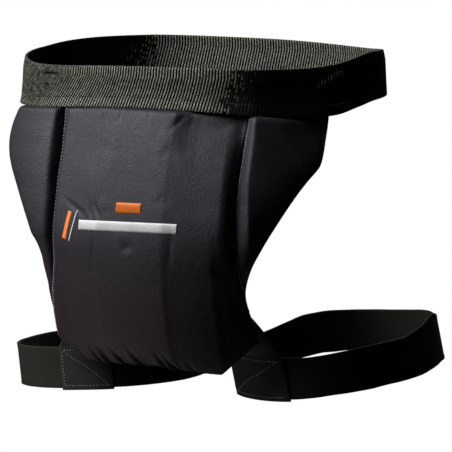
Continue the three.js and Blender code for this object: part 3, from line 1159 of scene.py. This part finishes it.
    def surface(self, along: Array, share: Array, out: Array) -> Array:
        """Points of the belt, with ribs that lean by rows above the sewn line and evenly below it.

        A rib is a rounded cord: its height is the root of half a sine wave along the loop.

        Args:
            along: length along the loop at which a rib crosses the sewn line.
            share: share from the upper edge to the lower one.
            out: distance out from the middle of the thickness, -1 to 1.

        Returns:
            The points.
        """
        up = (1 - share) * self.tall
        lean = smooth(self.lean_rows, 1, signed(self.turn_at(along)))
        leaning = np.clip(up, self.band_height, self.hem_height) - self.band_height
        shift = lean * leaning - self.band_lean * np.maximum(self.band_height - up, 0)
        turn = self.turn_at(along + shift)
        low, top = EDGES.low(turn), EDGES.top(turn)
        z = mix(top, low, share)
        cord = np.sqrt(np.abs(np.sin(np.pi * along / self.pitch))) - self.rib_base
        wave = sum(high * np.sin(count * turn + start + twist * share)
                   for count, start, twist, high in self.waves)
        dent = self.creases(turn, (1 - share) * (top - low), top - low) * (out > 0)
        tilt = self.hem_tilt * np.maximum(up - self.hem_height, 0) / (self.tall - self.hem_height)
        middle = GAP / 2 + self.thick / 2 + wave * self.wave_height + self.stand_off(turn, up) - tilt
        # ribs lie flatter where the painted light mask is dark
        clear = self.order(along, share, out) * np.minimum(1, self.rib_painted_light * self.wear(along, share, out))
        ribbed = np.where(np.abs(out) == 1, 1.0, self.edge_rib) * mix(self.flat_rib, 1, clear)
        reach = out * (self.thick / 2 + ribbed * self.rib_height * cord) - dent
        return HIP.ring(turn, z, middle + reach)

    def build(self) -> None:
        """Makes the belt and the stitches that hold it to the pad."""
        share, out = band_section(self.edge_share, 1 - self.edge_share, self.edge_share, self.face_rows)
        columns = self.ribs * self.rib_columns
        along = np.arange(columns) * self.length / columns
        points = self.surface(along[:, None], share[None], out[None])
        u = np.append(along, self.length)
        v = np.append(1 - share, 1 - share[0]) * self.tall
        marks = np.stack(np.meshgrid(u, v, indexing="ij"), -1) * MM
        finish = RibbedFinish(
            "belt_ribbed_webbing", groove=(3, 3, 2), thread=(124, 124, 114), worn=(175, 175, 163),
            pitch=self.pitch, bead_length=2.4,
        )
        belt = lofted("waist_belt_webbing", points, marks, True, finish.material())
        # the painted light mask and the rib order go on the belt as point attributes
        for label, rule in ((finish.painted_light_name, self.wear), (finish.order_name, self.order)):
            values = rule(along[:, None], share[None], out[None])
            belt.data.attributes.new(label, "FLOAT", "POINT").data.foreach_set(
                "value", values.astype(np.float32).ravel())
        dress(belt, ("waist_belt",))
        self.sew()

    def sew(self) -> None:
        """Makes the row of stitches in the groove above the belt's lower edge, on its outer face."""
        turn = np.radians(np.linspace(-self.stitch_reach, self.stitch_reach, self.stitch_points))
        out = GAP / 2 + self.thick - self.stitch_sink + self.stand_off(turn, np.asarray(self.band_height))
        line = HIP.ring(turn, EDGES.low(turn) + self.band_height, out)
        number, along = spaced(line, self.stitching.pitch)
        spots = along_line(line, number)
        self.stitching.sew("belt_stitches", spots, along, HIP.normals(spots), BELT_THREAD, Slot.BELT)


@dataclass(frozen=True)
class Pucker:
    """A small fold pulled into the pad's cloth: its middle, its direction, its reach and its depth."""

    x: float
    z: float
    angle: float
    length: float
    width: float
    depth: float

    def press(self, x: Array, z: Array) -> Array:
        """Depth at each place: a bell along the fold times a bell across it."""
        c, s = np.cos(np.radians(self.angle)), np.sin(np.radians(self.angle))
        along = (x - self.x) * c + (z - self.z) * s
        across = -(x - self.x) * s + (z - self.z) * c
        return self.depth * bell(along, self.length) * bell(across, self.width)


@dataclass
class CentrePad:
    """The middle panel of the seat pad: foam in three segments, a gathered hem and sewn sides.

    Fall, tilt and lean rows: place across, depth. Soft rows: place across, height. Tuck rows: place across,
    depth, slant, reach up the pad.
    """

    crown: float = 19.2
    fall_rows: Rows = ((0, 0), (32, 0.2), (36, 1.2), (82, 12.0), (86, 14.5), (98, 24.0), (108, 30.0))
    soft_rows: Rows = ((0, 19.2), (32, 19.0), (36, 18.0), (74, 15.4), (82, 12.6), (92, 8.6), (108, 4.5))
    firm_z: float = -118.0
    soft_z: float = -175.0
    tilt_rows: Rows = ((33, 0), (35, 1.0), (46, 7.0), (54, 9.0), (82, 11.0), (98, 8.0), (108, 4.0))
    tilt_z: float = -22.0
    tilt_reach: float = 31.0
    lean_rows: Rows = ((34, 0), (80, 3.6), (98, 2.4), (108, 1.0))
    top_drops: tuple[float, ...] = (
        -14, -9, -4, -1, 0.55, 1.2, 2, 3, 4.2, 5.6, 7.2, 9, 11, 13.2, 15.6, 18.2, 21, 23,
    )
    hem_edge: float = 6.5
    hem_fall: float = 5.0
    hem_round: float = 2.0
    tuck_rows: Rows = (
        (-61, 0.8, 0.65, 11), (-42, 1.0, 0.5, 14), (-31, 1.1, 0.5, 14), (-15, 1.1, 0.55, 13),
        (2.5, 1.0, 0.5, 13), (26, 1.0, 0.4, 12), (35.5, 0.9, 0.6, 11), (50, 0.5, 0.4, 9),
    )
    tuck_depth: float = 5.4
    tuck_width: float = 1.7
    tuck_power: float = 1.4
    ridge_share: float = 0.35
    ridge_off: float = 2.6
    ridge_width: float = 1.3
    pucker_fade: float = 8.0
    least: float = 0.6
    puckers: tuple[Pucker, ...] = (
        Pucker(-58, -116.5, -28, 11, 1.4, 2.3),
        Pucker(-41, -117, -66, 8, 1.3, 2.2),
        Pucker(-34, -117.5, -56, 8, 1.4, 2.0),
        Pucker(-41, -72, 90.5, 40, 2.6, 0.5),
        Pucker(-36, -150, 88, 12, 1.5, 1.0),
        Pucker(-1, -146, 15, 6, 3.2, 1.1),
        Pucker(-7, -138, 0, 6, 1.8, -0.6),
        Pucker(1, -153, 0, 4.5, 1.6, -0.5),
        Pucker(40, -147, 86, 15, 2.4, 0.9),
        Pucker(-41, -31, 80, 6, 1.6, 1.4),
        Pucker(-23, -30, 95, 5, 1.5, 0.9),
        Pucker(6, -30, 85, 5, 1.5, 0.9),
        Pucker(35, -34, 55, 7, 2.0, 1.6),
    )
    columns: int = 121
    run_rows: int = 112
    closing: float = 1.25
    stitching: Stitching = field(default_factory=lambda: Stitching(1.7, 1.05, 0.8, pitch=3.3))
    stitch_in: float = 5.2
    stitch_z: float = -120.0
    stitch_row: int = 5
    stitch_end: float = 0.995
    stitch_facing: float = 0.004
    settler: ClothSettler = field(default_factory=ClothSettler)

    def tucks(self, x: Array, above: Array) -> Array:
        """Depth of the gathers: at each tuck a sharp valley that leans and fades upwards from the hem."""
        total = np.zeros_like(x + above)
        for place, depth, slant, reach in self.tuck_rows:
            off = np.abs(x - place + above * slant)
            valley = np.exp(-((off / self.tuck_width) ** self.tuck_power))
            ridge = self.ridge_share * bell(off / self.tuck_width - self.ridge_off, self.ridge_width)
            total += self.tuck_depth * depth * bell(above, reach) * (valley - ridge)
        return total

    def foam(self, x: Array, z: Array, share: Array) -> Array:
        """Full height of the cloth: the foam's segments, less the seams, hem, gathers and puckers."""
        away = PLAN.seam(z, x) - np.abs(x)
        firm = self.crown + HIP.sag(x, z) - straight(self.fall_rows, 1, np.abs(x))
        softness = ease((self.firm_z - z) / (self.firm_z - self.soft_z))
        segments = mix(firm, straight(self.soft_rows, 1, np.abs(x)), softness)
        segments = segments - straight(self.tilt_rows, 1, x) * bell(z - self.tilt_z, self.tilt_reach)
        segments = segments - straight(self.lean_rows, 1, x) * softness
        sewn = mix(PLAN.valley, segments, rise(away, PLAN.seam_puff))
        above = z - PLAN.hem(share)
        edged = mix(sewn, np.minimum(self.hem_edge, sewn), np.exp(-above / self.hem_fall))
        pressed = sum(pucker.press(x, z) for pucker in self.puckers)
        return np.maximum(edged - self.tucks(x, above) - pressed * rise(away, self.pucker_fade), self.least)

    def spots(self) -> tuple[Array, Array, Array, Array]:
        """The grid's places: close rows under the belt's edge, then on down to the hem.

        Returns:
            The share across, the place across, the height and the drop below the belt, each as a grid.
        """
        share = np.linspace(-1, 1, self.columns)[None]
        low = EDGES.low_at(share * PLAN.seam(np.asarray(PLAN.top_height), share))
        drops = np.asarray(self.top_drops)
        run = 1 - (1 - np.linspace(0, 1, self.run_rows + 1)[1:]) ** self.closing
        drop = np.concatenate([drops, np.full(self.run_rows, drops[-1])])[:, None]
        share_down = np.concatenate([np.zeros(len(drops)), run])[:, None]
        z = mix(low - drop, PLAN.hem(share) + self.hem_round, share_down)
        x = share * (PLAN.seam(z, share) - GAP / 2)
        return share + 0 * z, x, z, low - z

    def shares(self, x: Array, z: Array) -> tuple[Array, Array]:
        """Shares down and across the grid at places on the panel.

        Args:
            x: place across.
            z: height.

        Returns:
            The share down the rows and the share across the columns.
        """
        share = x / (PLAN.seam(z, x) - GAP / 2)
        low = EDGES.low_at(share * PLAN.seam(np.asarray(PLAN.top_height), share))
        start = low - self.top_drops[-1]
        run = (start - z) / (start - PLAN.hem(share) - self.hem_round)
        row = (1 - (1 - np.clip(run, 0, 1)) ** (1 / self.closing)) * self.run_rows + len(self.top_drops) - 1
        return row / (len(self.top_drops) + self.run_rows - 1), (share + 1) / 2

    def build(self) -> None:
        """Makes the panel, settled over its foam, and the stitches along its left side."""
        share, x, z, drop = self.spots()
        outer = HIP.seat(x, z, PLAN.under_belt(drop, self.foam(x, z, share)))
        outer = self.settler.relax("centre_cloth", outer, drop)
        inner = HIP.seat(x, z, np.full_like(x, -PLAN.backing))
        self.patch = Patch(outer)
        sheets = half_round(outer, inner, np.array([0, 0, -self.hem_round]), axis=0)
        panel = cloth_body("centre_pad_panel", *sheets, PAD_CLOTH.material())
        dress(panel, ("centre_pad",))
        across = self.stitch_in / (2 * PLAN.seam(np.asarray(self.stitch_z), -1.0))
        down = np.linspace(self.stitch_row / (len(outer) - 1), self.stitch_end, SEAM_POINTS)
        self.stitching.zigzag("left_seam_stitches", self.patch, down, across, self.stitch_facing)


@dataclass
class WingPad:
    """A hip wing of the seat pad: a crowned pad that narrows to a tip beside the seam.

    Rim rows: height, distance of the rim from the middle. Slope rows: height, width of the slope by the seam.
    """

    side: Side
    rim_rows: Rows
    tip_z: float
    puff: float = 18.5
    wedge: float = 0.0
    seam_puff: float = 2.0
    crest: float = 0.0
    crest_reach: float = 6.0
    full_width: float = 38.0
    slope_rows: Rows = ()
    rim_fall: float = 4.6
    rim_edge: float = 2.4
    rim_round: float = 1.4
    tip_width: float = 1.6
    tip_taper: float = 24.0
    top_drops: tuple[float, ...] = (
        -14, -8, -3, 0.55, 1.2, 2, 3, 4.2, 5.6, 7.2, 9, 11, 13.2, 15.6, 18.2, 21, 23,
    )
    columns: int = 47
    run_rows: int = 80
    stitching: Stitching = field(default_factory=lambda: Stitching(2.5, 0.7, 0.55, pitch=2.9))
    stitch_at: float = 0.11
    stitch_row: int = 4
    stitch_end: float = 0.99
    stitch_facing: float = 0.01
    tip_height: float = 0.5
    least_crown: float = 0.15
    least_tail: float = 0.08
    least_round: float = 0.05
    settler: ClothSettler = field(default_factory=ClothSettler)

    def spots(self) -> tuple[Array, Array, Array, Array, Array]:
        """The grid's places, closer together beside the seam and the rim.

        Returns:
            The place across, the height, the drop below the belt, and the distances from seam and rim.
        """
        share = ((1 - np.cos(np.linspace(0, np.pi, self.columns))) / 2)[None]
        height = np.asarray(PLAN.top_height)
        wide = mix(PLAN.seam(height, self.side.value), smooth(self.rim_rows, 1, height), share)
        low = EDGES.low_at(self.side.value * wide)
        drops = np.asarray(self.top_drops)
        drop = np.concatenate([drops, np.full(self.run_rows, drops[-1])])[:, None]
        run = np.concatenate([np.zeros(len(drops)), np.linspace(0, 1, self.run_rows + 1)[1:]])[:, None]
        z = mix(low - drop, self.tip_z, run)
        seam = PLAN.seam(z, self.side.value) + GAP / 2
        tail = self.tip_width * np.clip((z - self.tip_z) / self.tip_taper, self.least_tail, 1)
        edge = np.maximum(smooth(self.rim_rows, 1, z) - self.rim_round, seam + tail)
        x = mix(seam, edge, share)
        return x, z, low - z, x - seam, edge - x

    def sheets(self) -> tuple[Array, Array]:
        """The outer cloth, settled over the foam, and the lining."""
        x, z, drop, from_seam, from_rim = self.spots()
        width = from_seam + from_rim
        crown = self.puff * (1 - self.wedge * from_seam / width)
        crown = crown * np.clip(width / self.full_width, self.least_crown, 1)
        swell = mix(rise(from_seam, self.seam_puff), rise(from_seam, self.crest_reach), self.crest)
        risen = np.clip(from_seam / smooth(self.slope_rows, 1, z), 0, 1) if self.slope_rows else swell
        sewn = mix(PLAN.valley, crown, risen)
        full = mix(self.rim_edge, sewn, rise(from_rim, self.rim_fall))
        full = mix(self.tip_height, full, rise(width, self.tip_width))
        outer = HIP.seat(self.side.value * x, z, PLAN.under_belt(drop, full))
        inner = HIP.seat(self.side.value * x, z, np.full_like(x, -PLAN.backing))
        name = f"{self.side.name.lower()}_wing_cloth"
        return self.settler.relax(name, outer, drop, mirrored=self.side is Side.LEFT), inner

    def build(self) -> None:
        """Makes the wing and, on the right, the stitches beside its seam."""
        outer, inner = self.sheets()
        fade = np.clip((outer[:, -1:, 2:] - self.tip_z) / self.tip_taper, self.least_round, 1)
        beyond = unit(inner[:, -1:] - inner[:, -2:-1]) * self.rim_round * fade
        name = self.side.name.lower()
        sheets = half_round(outer, inner, beyond, axis=1)
        wing = cloth_body(f"{name}_wing_panel", *sheets, PAD_CLOTH.material())
        dress(wing, (f"{name}_wing_pad",))
        if self.side is Side.RIGHT:
            down = np.linspace(self.stitch_row / (len(outer) - 1), self.stitch_end, SEAM_POINTS)
            self.stitching.zigzag(
                "right_seam_stitches", Patch(outer), down, self.stitch_at, self.stitch_facing)


LEFT_WING = WingPad(
    Side.LEFT, tip_z=-222.0, seam_puff=1.1, crest=0.3, full_width=26.0, rim_fall=3.0,
    rim_rows=(
        (-220, 110), (-200, 110.4), (-192, 110), (-177, 110.2), (-162, 110.6), (-150, 113.4), (-137, 119.4),
        (-125, 126.2), (-95, 144.3), (-85, 151), (-75, 156.3), (-62, 159.8), (-48, 159), (-36, 155.4),
        (-24, 150.8), (0, 144),
    ),
)
RIGHT_WING = WingPad(
    Side.RIGHT, tip_z=-204.0, wedge=0.8, full_width=22.0, tip_taper=40.0,
    rim_rows=(
        (-202, 102), (-184, 101.8), (-165, 106.8), (-150, 114), (-125, 127.2), (-95, 143), (-85, 148.5),
        (-76, 153.8), (-71, 156.3), (-62, 157.3), (-45, 157.3), (0, 158),
    ),
    slope_rows=((-200, 12), (-155, 12.5), (-117, 12), (-87, 9.6), (-55, 7.6), (-30, 5.2), (0, 4.5)),
)


@dataclass
class ThighStrap:
    """An elastic thigh strap: a flat band in a whole ring, tilted and turned as it hangs.

    Lift rows: turn in degrees, lift of the lower edge, lift of the upper edge. Wave rows: waves round the
    loop, start, height.
    """

    side: Side
    x: float
    y: float
    z: float
    reach_x: float
    reach_y: float
    power: float
    yaw: float
    rise_x: float
    rise_y: float
    lean_x: float
    flare: float
    lift_rows: Rows = ((0, 0, 0), (360, 0, 0))
    width: float = 40.0
    thick: float = 1.6
    fine_turns: int = 2881
    columns: int = 420
    face_rows: int = 13
    edge: float = 0.9
    selvedge: float = 0.25
    selvedge_in: float = 1.4
    selvedge_width: float = 1.3
    wave: float = 0.35
    waves: Rows = ((9, 0.4, 1.0), (23, 1.9, 0.6))

    def point(self, turn: Array, up: Array, out: Array) -> Array:
        """Points of the strap: a rounded loop in plan, turned by the yaw, sheared by the rises and lifted.

        Args:
            turn: angle round the strap from the middle of its back.
            up: height up the band from its middle.
            out: distance out of its outer face.

        Returns:
            The points.
        """
        wide = self.reach_x + up * self.flare + out
        deep = self.reach_y + up * self.flare + out
        across, along = loop_points(turn, wide, deep, deep, self.power)
        c, s = np.cos(np.radians(self.yaw)), np.sin(np.radians(self.yaw))
        x, y = across * c - along * s, across * s + along * c
        axis = unit(np.array([-self.rise_x, -self.rise_y, 1.0]))
        degrees = np.degrees(turn) % 360
        low, high = (smooth(self.lift_rows, column, degrees) for column in (1, 2))
        lift = mix(low, high, up / self.width + 0.5)
        return np.stack([
            self.x + x + up * (axis[0] + self.lean_x),
            self.y + y + up * axis[1],
            self.z + self.rise_x * x + self.rise_y * y + up * axis[2] + lift,
        ], -1)

    def turns(self) -> tuple[Array, Array]:
        """Turns at even lengths along the strap, and the length at each, with the whole length last."""
        fine = np.linspace(0, 2 * np.pi, self.fine_turns)
        points = self.point(fine, np.zeros_like(fine), np.zeros_like(fine))
        length = run_length(points)
        even = np.linspace(0, length[-1], self.columns + 1)
        return np.interp(even[:-1], length, fine), even

    def build(self) -> None:
        """Makes the strap: a flat section with rounded, slightly thicker edges, carried round the loop."""
        turn, length = self.turns()
        half = self.width / 2
        up, level = band_section(half - self.edge, -half + self.edge, -self.edge, self.face_rows)
        bead = self.selvedge * bell(np.abs(up) - half + self.selvedge_in, self.selvedge_width)
        out = -self.thick / 2 + level * (self.thick / 2 + bead)
        swing = sum(high * np.sin(count * turn + start) for count, start, high in self.waves)
        ripple = self.wave * swing[:, None] * (up / half)[None] ** 3
        points = self.point(turn[:, None], up[None], out[None] + ripple)
        marks = np.stack(np.meshgrid(length, np.append(up, up[0]), indexing="ij"), -1) * MM
        name = self.side.name.lower()
        strap = lofted(f"{name}_thigh_band", points, marks, True, STRAP_KNIT.material())
        dress(strap, (f"{name}_thigh_strap",))


LEFT_STRAP = ThighStrap(Side.LEFT, -119.4, 45.5, -286.4, 89.7, 121.1, 2.37, 11.6, 0.078, -0.062, -0.03, 0.04)
RIGHT_STRAP = ThighStrap(
    Side.RIGHT, 119.6, 48.4, -264.3, 78.4, 120.7, 2.2, -13.5, 0.03, 0.05, -0.17, -0.01,
    lift_rows=(
        (0, 0, 0), (25, 0.4, -0.8), (36, 1, -1.4), (43, 1.5, -0.7), (53, 1.8, 0.2), (68, 1.8, 1.2),
        (80, 1.8, 1.3), (90, 0.8, 0.5), (95, 0.6, 0.6), (100, 0.8, 2.2), (105, 1.2, 4), (110, 1.8, 5.8),
        (115, 2.4, 8.4), (120, 2.8, 10.8), (125, 3, 10.6), (130, 2.6, 8.6), (135, 2, 6.2), (140, 1.2, 4.2),
        (150, 0.3, 2.2), (160, 0, 2.2), (170, 0, 1),
        (180, 0, -0.6), (190, 0, -1.7), (205, 0, -1.8), (220, -0.3, -0.6), (235, 0, 1.2), (244, 1.1, 1.2),
        (252, 0.6, 0.6), (262, 0, -2.5), (275, 0, -5.5), (287, 0, -4), (305, 0, 0), (360, 0, 0),
    ),
)


@dataclass
class StrapTab:
    """A sewn tab: flat on its strap below, and leaning up behind the pad's cut corner."""

    strap: ThighStrap
    inner_turn: float
    outer_turn: float
    thick: float = 1.5
    overhang: float = 1.6
    behind: float = 7.0
    inset: float = 5.0
    lean: float = 1.7
    climb: float = 0.0
    hollow: float = 1.0
    side_row: bool = True
    thread: ClothFinish = DIM_THREAD
    columns: int = 45
    low_rows: int = 26
    high_rows: int = 24
    corner_from: float = 0.65
    thinned: tuple[float, ...] = (0.25, 0.85, 1.0)
    line_points: int = 200
    box_up: tuple[float, float] = (-17.5, 16.5)
    box_across: tuple[float, float] = (0.07, 0.93)
    diagonal_in: tuple[float, float] = (0.04, 0.02)
    stitching: Stitching = field(default_factory=lambda: Stitching(1.6, 0.95, 0.8, pitch=3.0))

    def sheet(self, out: float, seat: float) -> Array:
        """One face of the tab: rows up the strap, then rows that lean over to the pad's corner.

        Args:
            out: distance out of the strap's outer face.
            seat: distance out of the hip form at the pad's corner.

        Returns:
            The grid of points.
        """
        share = np.linspace(0, 1, self.columns)
        turn = np.radians(mix(self.inner_turn, self.outer_turn, share))
        half = self.strap.width / 2
        up = np.linspace(-half - self.overhang, half, self.low_rows)[:, None]
        low = self.strap.point(*np.broadcast_arrays(turn[None], up, out))
        across = mix(self.corner_from, 1.0, share)
        side = self.strap.side.value
        z = PLAN.hem(side * across) + self.behind + self.climb * share ** 2
        corner = HIP.seat(side * across * (PLAN.seam(z, side) - self.inset), z, np.full_like(z, seat))
        s = np.linspace(0, 1, self.high_rows + 1)[1:, None, None]
        shares = np.concatenate([s ** self.hollow, s ** self.lean, s], -1)
        return np.concatenate([low, mix(low[-1][None], corner[None], shares)])

    def build(self) -> None:
        """Makes the tab, thinned at its side edges, and its stitches."""
        outer = self.sheet(GAP + self.thick, -PLAN.backing - GAP)
        inner = self.sheet(GAP, -PLAN.backing - GAP - self.thick)
        middle = (outer + inner) / 2
        edge = np.minimum(np.arange(self.columns), np.arange(self.columns)[::-1])
        round_off = np.interp(edge, range(len(self.thinned)), self.thinned)[None, :, None]
        outer, inner = mix(middle, outer, round_off), mix(middle, inner, round_off)
        name = self.strap.side.name.lower()
        tab = cloth_body(f"{name}_tab_band", outer, inner, TAB_WEAVE.material())
        dress(tab, (f"{name}_strap_tab",))
        self.sew(name)

    def sew(self, name: str) -> None:
        """Makes the tab's stitches: rows along the lower and upper edges of its flat part, one diagonal
        across it, and where set a row up its outer side.
        """
        (low, high), (inside, outside) = self.box_up, self.box_across
        runs = [
            ((inside, low), (outside, low)), ((inside, high), (outside, high)),
            ((outside - self.diagonal_in[1], high), (inside + self.diagonal_in[0], low)),
        ]
        if self.side_row:
            runs.append(((outside, low), (outside, high)))
        spots, along, out = [], [], []
        for (from_share, from_up), (to_share, to_up) in runs:
            s = np.linspace(0, 1, self.line_points)
            turn = np.radians(mix(self.inner_turn, self.outer_turn, mix(from_share, to_share, s)))
            up = mix(from_up, to_up, s)
            face = GAP + self.thick
            line = self.strap.point(turn, up, np.full_like(s, face))
            above = self.strap.point(turn, up, np.full_like(s, face + 1.0))
            number, direction = spaced(line, self.stitching.pitch)
            spots.append(along_line(line, number))
            along.append(direction)
            out.append(unit(along_line(above - line, number)))
        rows = map(np.concatenate, (spots, along, out))
        self.stitching.sew(f"{name}_tab_stitches", *rows, self.thread, Slot.STRAP)


LEFT_TAB = StrapTab(LEFT_STRAP, 17, -9)
RIGHT_TAB = StrapTab(
    RIGHT_STRAP, -26, 21, climb=21.0, inset=2.6, hollow=0.75, side_row=False, thread=TAB_THREAD,
)


@dataclass
class StitchedBar:
    """A plain bar of satin stitch on the pad: threads side by side across it, crowned over its width."""

    name: str
    start: tuple[float, float]
    end: tuple[float, float]
    width: float
    finish: ClothFinish
    crown: float = 0.8
    thread: float = 0.62
    ragged: float = 0.04
    ragged_rate: float = 2.4
    thread_wave: float = 0.18
    end_reach: float = 0.8
    end_crown: float = 0.25
    lift: float = 0.05
    sunk: float = 0.4
    rows: int = 9

    def build(self, pad: CentrePad) -> None:
        """Makes the bar on the pad's settled cloth.

        The height over the cloth is a half ellipse across the bar, with a small wave along it for threads.

        Args:
            pad: the panel that it is sewn to.
        """
        (x0, z0), (x1, z1) = self.start, self.end
        length = float(np.hypot(x1 - x0, z1 - z0))
        columns = int(length / self.thread) * 4 + 1
        along = np.linspace(0, 1, columns)[None]
        over = np.linspace(-1, 1, self.rows)[:, None]
        ragged = 1 + self.ragged * np.sin(along * length / self.thread * self.ragged_rate)
        nx, nz = -(z1 - z0) / length, (x1 - x0) / length
        x = mix(x0, x1, along) + over * nx * self.width / 2 * ragged
        z = mix(z0, z1, along) + over * nz * self.width / 2 * ragged
        down, across = pad.shares(x, z)
        ends = np.minimum(along, 1 - along) * length
        full = np.minimum(1, ends / self.end_reach + self.end_crown)
        crown = self.crown * np.sqrt(np.maximum(1 - over ** 2, 0)) * full
        wave = 1 + self.thread_wave * np.cos(along * length / self.thread * 2 * np.pi)
        base = pad.patch.at(down, across)
        out = HIP.outer_side(pad.patch.facing(down, across), base)
        outer = base + out * (crown * wave + self.lift)[..., None]
        inner = base - out * self.sunk
        dress(cloth_body(self.name, outer, inner, self.finish.material()))


BARS = (
    StitchedBar("white_stitched_bar", (-52.5, -130.5), (46, -128.5), 8.0, WHITE_SATIN),
    StitchedBar("orange_stitched_bar", (-14, -114.0), (11, -113.5), 9.0, ORANGE_SATIN),
    StitchedBar("orange_upright_bar", (-68.5, -143.0), (-63.5, -120.0), 5.0, ORANGE_SATIN),
    StitchedBar("white_upright_bar", (-62.5, -144.5), (-55.5, -119.0), 1.4, WHITE_SATIN),
)


@dataclass(frozen=True)
class Lamp:
    """A soft rectangular light that faces the part: angles in degrees, sizes in metres, power in watts."""

    name: str
    turn: float
    elevation: float
    distance: float
    size: tuple[float, float]
    power: float
    colour: Colour = (1.0, 1.0, 1.0)


@dataclass
class Studio:
    """The camera, the lights and the pale floor, in metres."""

    turn: float = 27.0
    elevation: float = 8.0
    distance: float = 3.0
    aim_right: float = 0.02185
    aim_down: float = 0.1425
    field: float = 0.4294
    sensor: float = 36.0
    clip_end: float = 200.0
    floor_z: float = -0.8
    floor_half: float = 40.0
    room_light: float = 0.012
    lamp_aim: tuple[float, float, float] = (0.0, -0.03, -0.12)
    lamps: tuple[Lamp, ...] = (
        Lamp("key_light", -50.0, 42.0, 1.7, (1.0, 1.0), 50.0),
        Lamp("floor_bounce", -52.0, -52.0, 0.7, (0.7, 0.7), 1.1, (1.0, 0.9, 0.92)),
        Lamp("back_light", 188.0, 30.0, 2.0, (1.4, 1.0), 14.0),
    )

    def axes(self, turn: float, elevation: float) -> tuple[Array, Array, Array]:
        """Right, up and back directions of a viewer at a turn and elevation in degrees."""
        a, e = np.radians(turn), np.radians(elevation)
        right = np.array([np.cos(a), np.sin(a), 0.0])
        back = np.array([np.sin(a) * np.cos(e), -np.cos(a) * np.cos(e), np.sin(e)])
        return right, np.cross(back, right), back

    def aimed(self, turn: float, elevation: float, distance: float, aim: Array) -> Matrix:
        """A matrix that looks at the aim from a turn, elevation and distance."""
        right, up, back = self.axes(turn, elevation)
        matrix = np.eye(4)
        matrix[:3, :3] = np.stack([right, up, back], 1)
        matrix[:3, 3] = aim + back * distance
        return Matrix(matrix.tolist())

    def camera(self) -> None:
        """Places the camera at the angle and distance of the view that is matched."""
        right, up, _ = self.axes(self.turn, self.elevation)
        data = bpy.data.cameras.new("camera")
        data.sensor_width = self.sensor
        data.lens = self.sensor * self.distance / self.field
        data.clip_end = self.clip_end
        eye = bpy.data.objects.new("camera", data)
        eye.matrix_world = self.aimed(self.turn, self.elevation, self.distance,
                                      right * self.aim_right - up * self.aim_down)
        bpy.context.scene.collection.objects.link(eye)
        bpy.context.scene.camera = eye

    def light(self, lamp: Lamp) -> None:
        """Places a light."""
        data = bpy.data.lights.new(lamp.name, "AREA")
        data.shape = "RECTANGLE"
        data.size, data.size_y = lamp.size
        data.energy = lamp.power
        data.color = lamp.colour
        placed = bpy.data.objects.new(lamp.name, data)
        placed.visible_camera = False
        placed.matrix_world = self.aimed(lamp.turn, lamp.elevation, lamp.distance, np.asarray(self.lamp_aim))
        bpy.context.scene.collection.objects.link(placed)

    def floor(self) -> None:
        """Lays a pale, evenly bright floor well below the part, which throws no light back on it."""
        half, z = self.floor_half, self.floor_z
        corners = np.array([(-half, -half, z), (half, -half, z), (half, half, z), (-half, half, z)])
        material, board = new_material("pale_floor")
        glow = board.add("ShaderNodeEmission", {"Color": (1, 1, 1, 1), "Strength": 1.0})
        board.add("ShaderNodeOutputMaterial", {"Surface": glow.outputs[0]})
        floor = make_piece("floor", corners / MM, np.array([[0, 1, 2, 3]]), np.zeros((1, 4, 2)), material)
        floor.visible_diffuse = False
        floor.visible_glossy = False
        floor.visible_shadow = False

    def world(self) -> None:
        """Gives the room a low even light, and a white look beyond the floor."""
        scene = bpy.context.scene
        scene.world = bpy.data.worlds.new("studio")
        scene.world.use_nodes = True
        board = NodeBoard(scene.world.node_tree)
        path = board.add("ShaderNodeLightPath")
        dim = board.add("ShaderNodeBackground", {"Color": (1, 1, 1, 1), "Strength": self.room_light})
        white = board.add("ShaderNodeBackground", {"Color": (1, 1, 1, 1), "Strength": 1.0})
        both = board.add("ShaderNodeMixShader", {0: path.outputs["Is Camera Ray"], 1: dim.outputs[0],
                                                 2: white.outputs[0]})
        board.add("ShaderNodeOutputWorld", {"Surface": both.outputs[0]})
        scene.view_settings.view_transform = "Standard"

    def build(self) -> None:
        """Makes the whole set."""
        self.camera()
        self.floor()
        self.world()
        for lamp in self.lamps:
            self.light(lamp)


def main() -> None:
    """Builds the set and the guard's pieces in order."""
    logging.basicConfig(level=logging.INFO, format="%(message)s")
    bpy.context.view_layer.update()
    Studio().build()
    WaistBelt().build()
    pad = CentrePad()
    pad.build()
    for piece in (LEFT_WING, RIGHT_WING, LEFT_STRAP, RIGHT_STRAP, LEFT_TAB, RIGHT_TAB):
        piece.build()
    for bar in BARS:
        bar.build(pad)


if __name__ == "__main__":
    main()
